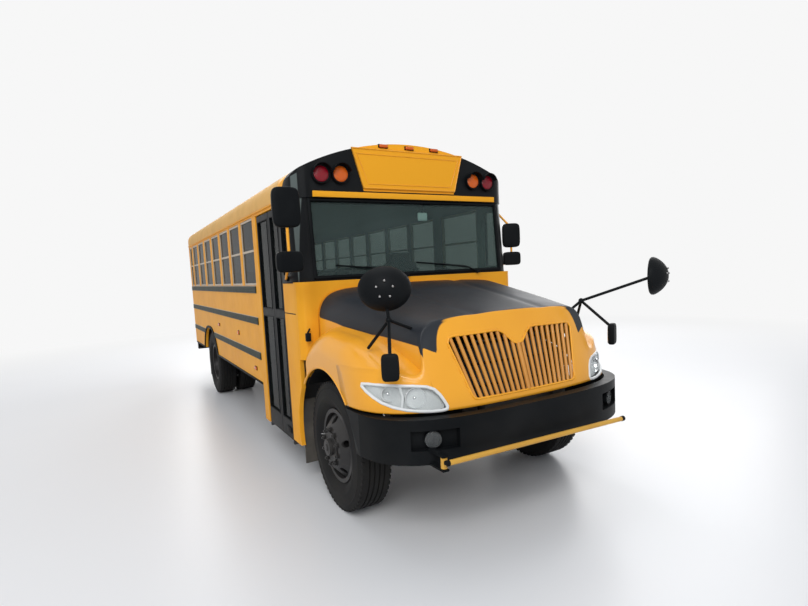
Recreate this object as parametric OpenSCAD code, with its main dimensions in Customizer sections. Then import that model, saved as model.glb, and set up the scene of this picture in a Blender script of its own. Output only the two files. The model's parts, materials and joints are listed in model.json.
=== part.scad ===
/* [Body] */
// Width over the side panels
body_w = 2438; // [2000:10:2600]
// Thickness of the walls and roof
wall = 45; // [30:1:60]
// Height of the lower edge of the side skirt
skirt_z = 729; // [700:1:800]
// Height of the floor's top surface
floor_z = 1040; // [1010:1:1100]
// Thickness of the floor plate
floor_t = 60; // [40:1:60]
// Height of the eave, where wall meets roof
eave_z = 2644; // [2500:1:2700]
// Height of the roof's crown
roof_z = 3161; // [3100:1:3300]
// Radius of the roof's crown arc
crown_r = 2460; // [2200:10:2600]
// Radius of the roof's side curve
eave_r = 200; // [150:10:240]
// Corner radius at the front cap, in plan
cap_r = 200; // [120:10:240]
// Corner radius at the rear, in plan
rear_r = 110; // [80:5:150]
// Distance from the front axle back to the face of the front cap
cap_y = 512; // [490:1:540]
// Distance from the rear axle to the rear wall
rear_overhang = 1918; // [1600:10:2400]

/* [Windows] */
// Spacing of the side windows
window_pitch = 711; // [600:1:760]
// Width of the post between two side windows
post_w = 100; // [80:1:140]
// Height of the window sills
sill_z = 1862; // [1840:1:1900]
// Height of the top of the side windows
window_top_z = 2616; // [2560:1:2620]
// Width of a sash frame's bars
sash_w = 26; // [18:1:34]
// Thickness of the window glass
glass_t = 6; // [4:1:8]
// Width of the pillars beside the windshield opening
pillar_w = 163; // [160:1:300]
// Lean of the windshield in degrees
shield_lean = 4.5; // [0:0.5:8]

/* [Entrance door] */
// Front edge of the doorway behind the front axle
door_y0 = 930; // [925:1:960]
// Rear edge of the doorway
door_y1 = 1800; // [1760:1:1840]
// Where the two leaves meet
door_split_y = 1310; // [1250:1:1450]
// Underside of the door leaves
door_z0 = 335; // [320:1:400]
// Top of the door leaves
door_z1 = 2596; // [2500:1:2600]
// Thickness of a door leaf
door_t = 36; // [28:1:40]
// Number of steps up from the road
steps = 3; // [3:1:3]
// Height of the lowest tread
tread_z = 382; // [375:1:420]
// Depth of a tread
tread_d = 215; // [190:1:225]

/* [Emergency door] */
// Half-width of the rear doorway
exit_half = 420; // [340:1:480]
// Top of the rear doorway
exit_top_z = 2600; // [2400:1:2600]

/* [Wheels] */
// Distance between the axles
wheelbase = 5512; // [5000:10:6200]
// Outer radius of the tyres
tyre_r = 532; // [500:1:540]
// Width of one tyre
tyre_w = 280; // [250:1:285]
// Radius of the rim under the tyre
rim_r = 286; // [270:1:290]
// Gap from the body side in to the front tyre's outer face
front_inset = 56; // [40:1:80]
// Gap from the body side in to the outer rear tyre's face
rear_inset = 24; // [15:1:60]
// Spacing of the twin tyres' middles
twin_pitch = 330; // [310:1:340]
// Distance from the front tyre's middle in to the kingpin
kingpin_in = 93; // [85:1:100]
// Radius of the kingpin
kingpin_r = 19; // [16:1:22]
// Radius of the wheel spindle
spindle_r = 40; // [32:1:45]
// Radial running clearance of pins and spindles
pin_gap = 0.05; // [0.02:0.01:0.1]
// Radius of the front wheel opening
arch_r = 650; // [620:1:660]
// Radius of the rear wheel opening
rear_arch_r = 605; // [580:1:620]

/* [Hood] */
// Width of the nose panel at the lower edge
nose_w = 1440; // [1300:10:1500]
// Forward reach of the hood's lower edge ahead of the front axle
nose_reach = 1100; // [1090:1:1110]
// Height of the hood's lower edge
hood_z0 = 972; // [965:1:985]
// Height of the hood's crown at the nose
hood_nose_z = 1585; // [1540:1:1640]
// Height of the hood's crown at the cowl
hood_cowl_z = 1836; // [1780:1:1845]
// Thickness of the hood's shell
hood_t = 24; // [16:1:30]
// Backward lean of the nose in degrees
nose_lean = 17.3; // [12:0.1:20]

/* [Chassis] */
// Outer half-spacing of the frame rails
rail_half = 430; // [400:1:440]
// Width of a rail's flange
rail_w = 80; // [70:1:90]
// Height of the rails' underside
rail_z0 = 690; // [680:1:710]
// Height of the rails' top
rail_z1 = 950; // [930:1:955]
// Thickness of the rails' steel
rail_t = 10; // [8:1:12]
// Height of the front bumper's lower edge
bumper_z0 = 648; // [630:1:680]
// Height of the front bumper's upper edge
bumper_z1 = 955; // [940:1:958]
// Forward reach of the front bumper ahead of the front axle
bumper_reach = 1210; // [1190:1:1230]

// Radius of the holes in the rear towing eyes
tow_r = 20; // [16:1:24]
// Spacing of the two screw holes for a number plate
plate_pitch = 178; // [150:1:200]
// Radius of those screw holes
plate_hole_r = 3.5; // [2.5:0.5:5]

/* [Seats] */
// Number of seat rows
seat_rows = 8; // [4:1:9]
// Spacing of the seat rows
seat_pitch = 640; // [600:10:700]
// Length of a bench across the bus
seat_len = 900; // [700:10:950]

/* [Hidden] */

hw = body_w / 2;                        // half-width of the body
shield_half = hw - pillar_w;            // half-width of the windshield opening
inner_hw = hw - wall;
body_end = wheelbase + rear_overhang;   // face of the rear wall
arm_front = bumper_reach + 100;         // foremost point: the crossing arm
bumper_end = body_end + 110;            // rearmost point: the rear bumper
front_axle_y = (arm_front - bumper_end) / 2;
mirror_out = hw + 301;                  // outermost point of the mirrors
side_y0 = 920;                          // where the cap gives way to the walls
side_y1 = body_end - 150;               // where the walls give way to the rear
post_y = door_y1 + 183;                 // rear edge of the door post
first_window = post_y - 23;             // front edge of the first window
header_z = 2630;                        // underside of the front cap
cowl_z = 1886;                          // top of the cowl, under the windshield
cowl_y = 455;                           // front face of the cowl
cowl_r = 120;                           // corner radius of the cowl, in plan
cowl_t = 40;                            // thickness of the cowl's panels
shelf_z = 1190;                         // underside of the toe shelf
floor_y0 = 800;                         // front edge of the floor
arch_y = 50;                            // middle of the front wheel opening
crown_c = roof_z - crown_r;             // height of the crown arc's centre
eave_c = crown_c + sqrt(pow(crown_r - eave_r, 2) - pow(hw - eave_r, 2));
tread_x = hw - 8 - door_t - 6;          // outer edge of the lowest tread
riser = (floor_z - tread_z) / steps;
sheet = 30;                             // thickness of the step sheets
house_z = 1215;                         // top of the rear wheel houses
house_x = rail_half + 70;               // inner face of the rear wheel houses
house_half = 665;                       // half-length of the wheel houses
front_tyre_x = hw - front_inset - tyre_w / 2;
rear_tyre_x = hw - rear_inset - tyre_w / 2;
kingpin_x = front_tyre_x - kingpin_in;
nose_half = nose_w / 2;
hood_side = hw - 14;                    // half-width over the fenders
hood_back = cowl_y - 10;                // rear edge of the hood
hinge_y = -1040;                        // hood hinge, ahead of the axle
hinge_z = 962;
hinge_r = 12;                           // radius of the hood's hinge pins
ear_x = rail_half - 26;                 // inner face of the hood's ears
ear_t = 22;                             // thickness of the hood's ears
stop_y = 1150;                          // stop arm's hinge behind the axle
pivot_x = -hw * 0.73;                   // crossing arm's pivot
pivot_y = -(bumper_reach + 35);
pivot_r = 10;                           // radius of the crossing arm's pin
arm_z = 705;                            // height of the crossing arm
stop_x = hw + 37;                       // stop arm's pin, out from the wall
stop_z = 1560;                          // height of the stop arm's middle
stop_r = 6;                             // radius of the stop arm's pin
exit_pin_x = -exit_half + 3;            // rear door's hinge pin
exit_pin_y = body_end + 15;
exit_pin_r = 4;
leaf_pin_x = hw - 8 - door_t / 2;       // pins of the entrance leaves
leaf_pin_r = 10;
$fn = 64;

// ---------- helpers ----------
// Moves what is drawn from the front axle into the bus's own frame.
module at_axle() {
    translate([0, front_axle_y, 0]) children();
}

module box(x0, x1, y0, y1, z0, z1) {
    translate([x0, y0, z0]) cube([x1 - x0, y1 - y0, z1 - z0]);
}

// Draws its children on both sides of the bus.
module both() {
    children();
    mirror([1, 0, 0]) children();
}

// Extrudes an outline of x and z along y.
module along_y(y0, y1) {
    translate([0, y1, 0]) rotate([90, 0, 0]) linear_extrude(y1 - y0) children();
}

// Extrudes an outline of y and z along x.
module along_x(x0, x1) {
    translate([x0, 0, 0]) rotate([90, 0, 90]) linear_extrude(x1 - x0) children();
}

module rod_x(x0, x1, y, z, r) {
    translate([x0, y, z]) rotate([0, 90, 0]) cylinder(h = x1 - x0, r = r);
}

module rod_z(x, y, z0, z1, r) {
    translate([x, y, z0]) cylinder(h = z1 - z0, r = r);
}

// A round bar between two points, its seam turned away from what it meets.
seam_turn = 37;
module bar(a, b, r) {
    d = b - a;
    translate(a)
        rotate([0, acos(d[2] / norm(d)), atan2(d[1], d[0])])
            rotate([0, 0, seam_turn]) cylinder(h = norm(d), r = r, $fn = 24);
}

// ---------- body shell ----------
// Cross-section of the body, drawn in by a given amount.
module body_profile(in) {
    w = hw - in;
    k = 2;
    tx = k * (hw - eave_r);
    tz = crown_c + k * (eave_c - crown_c);
    bottom = in > 0 ? skirt_z - 100 : skirt_z;
    translate([-w, bottom]) square([2 * w, eave_c - bottom]);
    for (s = [-1, 1])
        translate([s * (hw - eave_r), eave_c]) circle(eave_r - in);
    intersection() {
        translate([0, crown_c]) circle(crown_r - in, $fn = 256);
        polygon([[0, crown_c], [tx, tz], [-tx, tz]]);
    }
}

// Plan outline of the body between two y values.
module body_plan(y0, y1, front_r, back_r, in) {
    w = hw - in;
    for (s = [-1, 1]) {
        translate([s * (hw - front_r), y0 + front_r]) circle(front_r - in);
        translate([s * (hw - back_r), y1 - back_r]) circle(back_r - in);
    }
    translate([-(hw - front_r), y0 + in]) square([2 * (hw - front_r), front_r]);
    translate([-(hw - back_r), y1 - back_r]) square([2 * (hw - back_r), back_r - in]);
    translate([-w, y0 + front_r]) square([2 * w, y1 - y0 - front_r - back_r]);
}

module body_solid(in) {
    intersection() {
        along_y(cap_y - 50, body_end + 50) body_profile(in);
        linear_extrude(roof_z + 50) body_plan(cap_y, body_end, cap_r, rear_r, in);
    }
}

module body_shell() {
    difference() {
        body_solid(0);
        body_solid(wall);
    }
}

// Front and rear edges of each side window.
window_spans = [for (y = [first_window : window_pitch : side_y1 - 2 * post_w])
    [y, min(y + window_pitch - post_w, side_y1 - 20)]];
driver_span = [side_y0 + 90, door_y1 - 40];
rear_spans = [exit_half + 110, hw - 170];
rear_glass_z = [sill_z + 20, window_top_z - 40];

module window_hole(span) {
    box(inner_hw - 10, hw + 10, span[0], span[1], sill_z, window_top_z);
}

// Outline of the rear wheel opening, with a flat stretch over the tyres.
module rear_arch(x0, x1) {
    for (s = [-1, 1])
        rod_x(x0, x1, wheelbase + s * 90, tyre_r, rear_arch_r);
    box(x0, x1, wheelbase - 90, wheelbase + 90, 0, tyre_r + rear_arch_r);
}

leaf_gap = 6;
leaf_a = [door_y0 + leaf_gap, door_split_y - leaf_gap / 2];
leaf_b = [door_split_y + leaf_gap / 2, door_y1 - leaf_gap];
leaf_pins = [leaf_a[0] + door_t / 2, leaf_b[1] - door_t / 2];

module side_wall() {
    difference() {
        intersection() {
            body_shell();
            box(0, hw + 50, side_y0, side_y1, 0, eave_z);
        }
        for (span = window_spans) window_hole(span);
        rear_arch(inner_hw - 20, hw + 20);
    }
}

// Wall plate, lugs and pin of the stop arm.
module stop_hinge() {
    box(hw, hw + 8, stop_y - 50, stop_y + 50, stop_z - 130, stop_z + 130);
    for (z = [stop_z - 120, stop_z + 105])
        box(hw, stop_x + 14, stop_y - 14, stop_y + 14, z, z + 15);
    rod_z(stop_x, stop_y, stop_z - 120, stop_z + 120, stop_r);
}

module left_side() {
    color("goldenrod") at_axle() {
        difference() {
            side_wall();
            window_hole(driver_span);
        }
        stop_hinge();
    }
}

module right_side() {
    color("goldenrod") at_axle() mirror([1, 0, 0]) {
        difference() {
            side_wall();
            box(inner_hw - 10, hw + 10, side_y0 - 10, door_y1, 0, door_z1 + 12);
            for (y = leaf_pins)
                rod_z(leaf_pin_x, y, door_z1, door_z1 + 42, leaf_pin_r + pin_gap);
        }
        box(inner_hw, hw, door_y1, post_y, door_z0 - 3, skirt_z + 20);
    }
}

module roof() {
    color("khaki") at_axle() intersection() {
        body_shell();
        box(-hw - 50, hw + 50, side_y0, side_y1, eave_z, roof_z + 50);
    }
}

lamp_r = 88;                            // radius of a warning lamp
lamp_pitch = 188;                       // spacing of two lamps in a pair
lamp_x = hw - 381;                      // middle of a pair of warning lamps
sign_half = lamp_x - lamp_pitch / 2 - lamp_r - 36;

// Sign panel between the lamps: a raised blank plate.
module sign_plate() {
    foot = sign_half - 104;
    along_y(cap_y - 14, cap_y)
        polygon([[-sign_half, 3096], [sign_half, 3096], [foot, 2722], [-foot, 2722]]);
}

// Ring of the cab front that leans back with the windshield.
module leaning_ring() {
    translate([0, cap_y + 18, header_z])
        rotate([-shield_lean, 0, 0])
            translate([0, -cap_y - 18, -900])
                linear_extrude(1000) difference() {
                    body_plan(cap_y + 18, body_end, cap_r, rear_r, 0);
                    body_plan(cap_y + 18, body_end, cap_r, rear_r, wall);
                }
}

module shield_frame(z0, z1, half, y0, y1) {
    translate([0, cap_y + 18, header_z])
        rotate([-shield_lean, 0, 0])
            box(-half, half, y0, y1, z0 - header_z, z1 - header_z);
}

shield_z0 = cowl_z + 22;
shield_z1 = header_z - 12;
quarter_span = [cap_y + 150, side_y0 - 50];
quarter_z = [cowl_z + 70, header_z - 70];

module front_cap() {
    color("black") at_axle() {
        intersection() {
            body_shell();
            box(-hw - 50, hw + 50, 0, side_y0, header_z, roof_z + 50);
        }
        difference() {
            intersection() {
                leaning_ring();
                box(-hw - 50, hw + 50, 0, side_y0, cowl_z, header_z);
            }
            shield_frame(shield_z0, shield_z1, shield_half, -60, wall + 60);
            for (s = [-1, 1])
                translate([s * hw, 0, 0])
                    box(-wall - 20, wall + 20, quarter_span[0], quarter_span[1],
                        quarter_z[0], quarter_z[1]);
        }
        sign_plate();
        box(-hw + cap_r, hw - cap_r, cap_y - 26, cap_y, header_z + 4, header_z + 56);
    }
}

module windshield() {
    color("darkslategray", 0.5) at_axle()
        shield_frame(shield_z0, shield_z1, shield_half, 8, 8 + glass_t + 2);
}

// Two panes set in a sash.
module sash_panes(span, z0, z1, mid_z) {
    x = hw - wall / 2;
    for (z = [[z0 + sash_w, mid_z], [mid_z + sash_w, z1 - sash_w]])
        box(x - glass_t / 2, x + glass_t / 2, span[0] + sash_w,
            span[1] - sash_w, z[0], z[1]);
}

mid_z = 2240;                           // height of the sashes' middle rail

module side_windows() {
    color("slategray", 0.5) at_axle() {
        both() for (span = window_spans) sash_panes(span, sill_z, window_top_z, mid_z);
        sash_panes(driver_span, sill_z, window_top_z, mid_z);
        both() {
            box(hw - 30, hw - 30 + glass_t, quarter_span[0], quarter_span[1],
                quarter_z[0], quarter_z[1]);
            box(rear_spans[0], rear_spans[1], body_end - 30, body_end - 30 + glass_t,
                rear_glass_z[0], rear_glass_z[1]);
        }
    }
}

module sash(span) {
    x = hw - wall / 2;
    t = 15;
    difference() {
        box(x - t, x + t, span[0], span[1], sill_z, window_top_z);
        box(x - 20, x + 20, span[0] + sash_w, span[1] - sash_w, sill_z + sash_w, mid_z);
        box(x - 20, x + 20, span[0] + sash_w, span[1] - sash_w, mid_z + sash_w,
            window_top_z - sash_w);
    }
}

module window_sashes() {
    color("tan") at_axle() {
        both() for (span = window_spans) sash(span);
        sash(driver_span);
    }
}

rail_bands = [[1773, 1852], [1414, 1494], [1011, 1091]];

module rub_rails() {
    color("black") at_axle() both() for (band = rail_bands) {
        difference() {
            box(hw, hw + 12, post_y, side_y1, band[0], band[1]);
            rear_arch(hw - 20, hw + 60);
        }
    }
}

exit_hinges = [1250, 1820, 2400];       // heights of the rear door's hinges

module rear_end() {
    color("goldenrod") at_axle() difference() {
        intersection() {
            body_shell();
            box(-hw - 50, hw + 50, side_y1, body_end + 50, 0, roof_z + 50);
        }
        box(-exit_half, exit_half, body_end - wall - 60, body_end + 60,
            floor_z, exit_top_z);
        both() box(rear_spans[0], rear_spans[1], body_end - wall - 30,
            body_end + 30, rear_glass_z[0], rear_glass_z[1]);
    }
    color("goldenrod") at_axle() for (z = exit_hinges) {
        box(-exit_half - 60, -exit_half, body_end - 1, body_end + 12, z - 60, z - 20);
        rod_z(exit_pin_x, exit_pin_y, z - 60, z - 20, 9);
        rod_z(exit_pin_x, exit_pin_y, z - 60, z + 28, exit_pin_r);
    }
}

// ---------- cowl ----------
module cowl_ring() {
    difference() {
        linear_extrude(cowl_z)
            body_plan(cowl_y, body_end, cowl_r, rear_r, 0);
        translate([0, 0, -1]) linear_extrude(cowl_z - 59)
            body_plan(cowl_y, body_end, cowl_r, rear_r, cowl_t);
    }
}

module cowl() {
    color("orange") at_axle() {
        difference() {
            union() {
                intersection() {
                    cowl_ring();
                    union() {
                        box(-hw - 50, hw + 50, 0, side_y0, shelf_z, cowl_z);
                        box(-hw - 50, -hw + cowl_t, 560, side_y0, 360, shelf_z);
                        box(hw - cowl_t, hw + 50, 560, side_y0, skirt_z, shelf_z);
                    }
                }
                box(-hw + cowl_t, hw - cowl_t, cowl_y + 20, floor_y0, shelf_z, shelf_z + 40);
                box(-inner_hw + 5, inner_hw - 5, floor_y0 - 40, floor_y0,
                    floor_z - floor_t, shelf_z + 40);
            }
            rod_x(-hw - 60, hw + 60, arch_y, tyre_r, arch_r);
            // open top behind the windshield, over the dashboard
            box(-hw + cowl_t, hw - cowl_t, cap_y + 130, side_y0 + 10, shelf_z + 40,
                cowl_z + 10);
        }
    }
}

// ---------- floor, steps and wheel houses ----------
module step_stack() {
    for (i = [0 : steps - 1]) {
        x = tread_x - i * tread_d;
        z = tread_z + i * riser;
        box(x - tread_d, x, door_y0 - 25, door_y1 + 15, z - sheet, z);
        box(x - tread_d - sheet, x - tread_d, door_y0 - 25, door_y1 + 15, z - sheet,
            z + riser);
    }
}

step_x = tread_x - steps * tread_d;     // where the steps meet the floor

module step_sides() {
    for (y = [door_y0 - 25, door_y1 - 10])
        box(step_x - sheet, inner_hw - 6, y, y + 25, tread_z - sheet, floor_z);
}

// Sockets under the lowest tread for the pins of the door leaves.
module leaf_sockets() {
    for (y = leaf_pins) difference() {
        union() {
            box(tread_x - 35, tread_x, y - 16, y + 16, door_z0 - 36, tread_z - sheet + 1);
            box(tread_x - 35, leaf_pin_x + 18, y - 16, y + 16, door_z0 - 36, door_z0 - 6);
        }
        rod_z(leaf_pin_x, y, 0, door_z0, leaf_pin_r + pin_gap);
    }
}

module wheel_house() {
    difference() {
        box(house_x, inner_hw, wheelbase - house_half, wheelbase + house_half,
            floor_z - floor_t, house_z);
        box(house_x + 15, inner_hw + 1, wheelbase - house_half + 15,
            wheelbase + house_half - 15, 0, house_z - 15);
    }
}

module floor() {
    color("dimgray") at_axle() difference() {
        union() {
            difference() {
                union() {
                    box(-inner_hw, inner_hw, floor_y0, body_end - wall,
                        floor_z - floor_t, floor_z);
                    for (y = [floor_y0 + 60 : window_pitch : body_end - 300])
                        box(-inner_hw, inner_hw, y, y + 60, rail_z1, floor_z - 1);
                }
                both() box(house_x + 5, inner_hw + 1, wheelbase - house_half + 5,
                    wheelbase + house_half - 5, 0, floor_z + 1);
                box(-hw, -step_x, door_y0 - 25, door_y1 + 15, 0, floor_z + 1);
            }
            both() wheel_house();
            mirror([1, 0, 0]) {
                step_stack();
                step_sides();
                leaf_sockets();
            }
        }
        // rounded lower corners of the body at the rear
        difference() {
            box(-hw, hw, side_y1, body_end, 0, floor_z + 10);
            linear_extrude(floor_z + 20)
                body_plan(cap_y, body_end, cap_r, rear_r, wall);
        }
    }
}

// ---------- chassis ----------
module rail_section() {
    polygon([[rail_half, rail_z0], [rail_half, rail_z1],
        [rail_half - rail_w, rail_z1], [rail_half - rail_w, rail_z1 - rail_t],
        [rail_half - rail_t, rail_z1 - rail_t], [rail_half - rail_t, rail_z0 + rail_t],
        [rail_half - rail_w, rail_z0 + rail_t], [rail_half - rail_w, rail_z0]]);
}

frame_y0 = -1000;                       // front end of the rails
bearing_y = 3300;                       // crossmember that holds the shaft's bearing
frame_y1 = body_end - 100;              // rear end of the rails
crossmembers = [-900, 1070, 2000, bearing_y, 4600, 6400, frame_y1 - 100];

module chassis_frame() {
    color("black") at_axle() {
        both() along_y(frame_y0, frame_y1) rail_section();
        for (y = crossmembers)
            box(-rail_half + rail_t, rail_half - rail_t, y, y + 70,
                rail_z1 - 95, rail_z1 - rail_t);
        // ears that carry the hood's hinge pins
        both() {
            box(rail_half - 60, ear_x - 6, hinge_y - 15, frame_y0 + 40, rail_z0 + 20,
                hinge_z + 20);
            rod_x(rail_half - 60, rail_half - 2, hinge_y, hinge_z, hinge_r);
        }
    }
}

engine_y1 = 380;                        // rear of the engine
module engine() {
    color("dimgray") at_axle() {
        box(-330, 330, -820, engine_y1, rail_z0 + 120, 1330);
        both() for (y = [-500, 180])
            box(329, rail_half - rail_t, y, y + 100, rail_z1 - 90, rail_z1 - 25);
        box(-340, 340, -900, -840, rail_z1 - rail_t, 1400);
    }
}

module beam_half() {
    polygon([[0, 455], [kingpin_x - 450, 455], [kingpin_x - 230, 562], [kingpin_x, 562],
        [kingpin_x, 502], [kingpin_x - 190, 502], [kingpin_x - 410, 345], [0, 345]]);
}

module front_axle() {
    color("black") at_axle() both() difference() {
        union() {
            along_y(-45, 45) beam_half();
            rod_z(kingpin_x, 0, 482, 582, 46);
        }
        rod_z(kingpin_x, 0, 400, 700, kingpin_r + pin_gap);
    }
}

module rear_axle() {
    color("black") at_axle() {
        rod_x(-rear_tyre_x + twin_pitch / 2, rear_tyre_x - twin_pitch / 2,
            wheelbase, tyre_r, 68);
        both() rod_x(rear_tyre_x - twin_pitch / 2 - 1, rear_tyre_x + 40,
            wheelbase, tyre_r, spindle_r);
        translate([0, wheelbase, tyre_r]) rotate([90, 0, 0])
            translate([0, 0, -130]) cylinder(h = 260, r = 190);
        along_y(wheelbase - 260, wheelbase - 100) translate([0, tyre_r]) circle(75);
    }
}

// One leaf pack: a ring sector with its hangers.
module leaf_pack(x0, x1, y, half, z_mid, rise, t, top_z) {
    r = (half * half + rise * rise) / (2 * rise);
    difference() {
        intersection() {
            rod_x(x0, x1, y, z_mid + r, r);
            box(x0, x1, y - half, y + half, z_mid - 10, z_mid + rise + 40);
        }
        rod_x(x0 - 1, x1 + 1, y, z_mid + r, r - t);
    }
    for (s = [-1, 1])
        box(x0, x1, y + s * half - 30, y + s * half + 30, z_mid + rise + 5, top_z);
}

module leaf_springs() {
    color("darkslategray") at_axle() both() {
        leaf_pack(rail_half - 75, rail_half - 5, 0, 600, 455, 125, 60, rail_z0);
        difference() {
            leaf_pack(rail_half, rail_half + 75, wheelbase, 750, tyre_r + 68, 100, 70,
                rail_z1 - 60);
            rod_x(0, hw, wheelbase, tyre_r, 68);
        }
    }
}

module driveshaft() {
    color("gray") at_axle() {
        box(-190, 190, engine_y1, engine_y1 + 670, rail_z0 + 20, rail_z1 - 10);
        bar([0, engine_y1 + 660, 780], [0, bearing_y - 40, 760], 50);
        bar([0, bearing_y - 40, 760], [0, wheelbase - 270, tyre_r], 46);
        along_y(wheelbase - 310, wheelbase - 260) translate([0, tyre_r]) circle(64);
        box(-120, 120, bearing_y - 70, bearing_y, 690, rail_z1 - 50);
    }
}

module fuel_tank() {
    color("black") at_axle() mirror([1, 0, 0]) {
        box(rail_half, hw - 179, 2900, 4150, 560, 920);
    }
}

module exhaust() {
    color("silver") at_axle() {
        translate([rail_half + 130, 1400, 790]) rotate([-90, 0, 0])
            cylinder(h = 1200, r = 120);
        translate([rail_half + 130, 2600, 790]) rotate([-90, 0, 0])
            cylinder(h = wheelbase - 800 - 2600, r = 50);
        box(rail_half, rail_half + 30, 1800, 1860, 760, 820);
    }
}

// ---------- bumpers ----------
// Front outline in plan: a flat middle that sweeps back at both ends.
function sweep_y(x, reach, half, n, depth) =
    -(reach - depth) - depth * pow(1 - pow(min(abs(x) / half, 1), n), 1 / n);

module swept_plan(reach, half, n, depth, back) {
    steps_x = [for (i = [-16 : 16]) half * sin(i * 90 / 16)];
    polygon(concat([for (x = steps_x) [x, sweep_y(x, reach, half, n, depth)]],
        [[half, back], [-half, back]]));
}

module front_bumper() {
    color("black") at_axle() {
        difference() {
            translate([0, 0, bumper_z0]) linear_extrude(bumper_z1 - bumper_z0)
                swept_plan(bumper_reach, hw - 4, 3.2, 760, -440);
            translate([0, 0, bumper_z0 - 1]) linear_extrude(bumper_z1 - bumper_z0 + 2)
                swept_plan(bumper_reach - 80, hw - 64, 3.2, 720, -400);
            rod_x(-hw - 60, hw + 60, arch_y, tyre_r, arch_r);
            both() box(700, 1010, -bumper_reach - 100, -bumper_reach + 260, 745, 880);
            both() lamp_y(plate_pitch / 2, 800, plate_hole_r, -bumper_reach - 100, 0);
        }
        both() box(rail_half - 28, rail_half, -bumper_reach + 70, frame_y0, 700, 895);
        // carrier and pin of the crossing arm
        for (z = [arm_z - 53, arm_z + 41])
            box(pivot_x - 24, pivot_x + 24, pivot_y - 24, pivot_y + 170, z, z + 12);
        rod_z(pivot_x, pivot_y, arm_z - 50, arm_z + 50, pivot_r);
    }
}

module rear_bumper() {
    color("black") at_axle() {
        difference() {
            box(-hw + 40, hw - 40, body_end + 10, bumper_end, 560, 800);
            both() lamp_y(plate_pitch / 2, 680, plate_hole_r, body_end, bumper_end + 10);
        }
        both() difference() {
            box(rail_half - 70, rail_half - 45, body_end - 60, bumper_end - 20, 470, 561);
            rod_x(0, hw, bumper_end - 65, 515, tow_r);
        }
        both() box(rail_half - 70, rail_half, frame_y1 - 250, body_end + 10,
            rail_z0 - 80, rail_z0);
    }
}

// ---------- inside ----------
dash_y1 = cap_y + 300;                  // rear face of the dashboard
module dashboard() {
    color("dimgray") at_axle()
        box(-hw + cowl_t + 1, hw - cowl_t - 1, cap_y + 131, dash_y1,
            shelf_z + 40, cowl_z - 60);
}

wheel_x = 560;                          // middle of the steering wheel
module steering_wheel() {
    color("black") at_axle() translate([wheel_x, 1000, 1830]) rotate([-30, 0, 0]) {
        rotate_extrude() translate([215, 0]) circle(15, $fn = 24);
        for (a = [90, 210, 330])
            rotate([0, 0, a]) rotate([0, 90, 0]) cylinder(h = 208, r = 10, $fn = 24);
        translate([0, 0, -150]) cylinder(h = 165, r = 34);
    }
    color("black") at_axle() difference() {
        translate([wheel_x, 1000, 1830]) rotate([-30, 0, 0])
            translate([0, 0, -430]) cylinder(h = 430, r = 30);
        box(wheel_x - 200, wheel_x + 200, 0, dash_y1, 1000, 2000);
    }
}

module driver_seat() {
    color("slategray") at_axle() {
        box(wheel_x - 240, wheel_x + 240, 1300, 1760, 1480, 1600);
        box(wheel_x - 240, wheel_x + 240, 1760, 1880, 1480, 2180);
        box(wheel_x - 160, wheel_x + 160, 1380, 1700, floor_z, 1480);
    }
}

seat_y0 = post_y + 320;                 // front of the first row's cushion
module bench(y) {
    x1 = inner_hw - 12;
    box(x1 - seat_len, x1, y, y + 380, 1340, 1450);
    box(x1 - seat_len, x1, y + 380.5, y + 470, 1340, 2040);
    for (dy = [60, 310])
        box(x1 - seat_len + 60, x1 - seat_len + 95, y + dy, y + dy + 35, floor_z, 1340);
    box(x1 - 40, x1 + 12, y + 60, y + 370, 1300, 1340);
}

module passenger_seats() {
    color("sienna") at_axle() both() for (i = [0 : seat_rows - 1]) {
        y = seat_y0 + i * seat_pitch;
        if (y + 500 < body_end - wall) bench(y);
    }
}

// ---------- mirrors ----------
module mirror_head(x, y, z0, z1, w, turn) {
    translate([x, y, 0]) rotate([0, 0, turn])
        box(-w / 2, w / 2, -35, 35, z0, z1);
}

foot_y = 760;                           // feet of the mirrors' arms
foot_zs = [cowl_z + 35, header_z - 35];
module side_mirrors() {
    color("black") at_axle() {
        // right side, ahead of the door
        box(-mirror_out, -mirror_out + 220, 0, 70, 2318, 2628);
        box(-mirror_out + 4, -mirror_out + 216, 0, 70, 1972, 2136);
        bar([-mirror_out + 110, 35, 2100], [-mirror_out + 110, 35, 2350], 12);
        bar([-mirror_out + 110, 60, 2560], [-hw - 14, foot_y, foot_zs[1]], 12);
        bar([-mirror_out + 110, 60, 2050], [-hw - 14, foot_y, foot_zs[0]], 12);
        both() for (z = foot_zs)
            box(hw, hw + 18, foot_y - 30, foot_y + 30, z - 24, z + 24);
        // left side, beside the driver's window
        mirror_head(hw + 120, 600, 2150, 2420, 200, -30);
        mirror_head(hw + 120, 600, 1950, 2100, 200, -30);
        bar([hw + 120, 600, 2070], [hw + 120, 600, 2180], 12);
        bar([hw + 110, 600, 2385], [hw + 14, foot_y, foot_zs[1]], 12);
        bar([hw + 110, 600, 2010], [hw + 14, foot_y, foot_zs[0]], 12);
    }
}

dome_r = 190;                           // radius of a cross-view mirror
dome_turn = 27;                         // turn of its face, outwards
dome_t = 30;                            // reach of its face behind its seat
dome_high = dome_r * 0.84;              // half the height of an oval mirror
dome_deep = 140;                        // depth of its crown from the face
dome_swing = (dome_high * dome_high / dome_deep + dome_deep) / 2;
dome_axis = dome_swing - dome_deep;     // its middle line behind the face
dome_drop = (dome_r * dome_r / dome_deep - dome_swing - dome_axis) / 2;

// Oval domed mirror head, its back to the front of the bus.
module dome() {
    intersection() {
        translate([0, dome_t + dome_axis, 0]) rotate([0, 90, 0]) rotate_extrude() intersection() {
            translate([-dome_drop, 0]) circle(dome_swing + dome_drop);
            translate([0, -300]) square([300, 600]);
        }
        box(-250, 250, -250, dome_t, -250, 250);
    }
}

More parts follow.
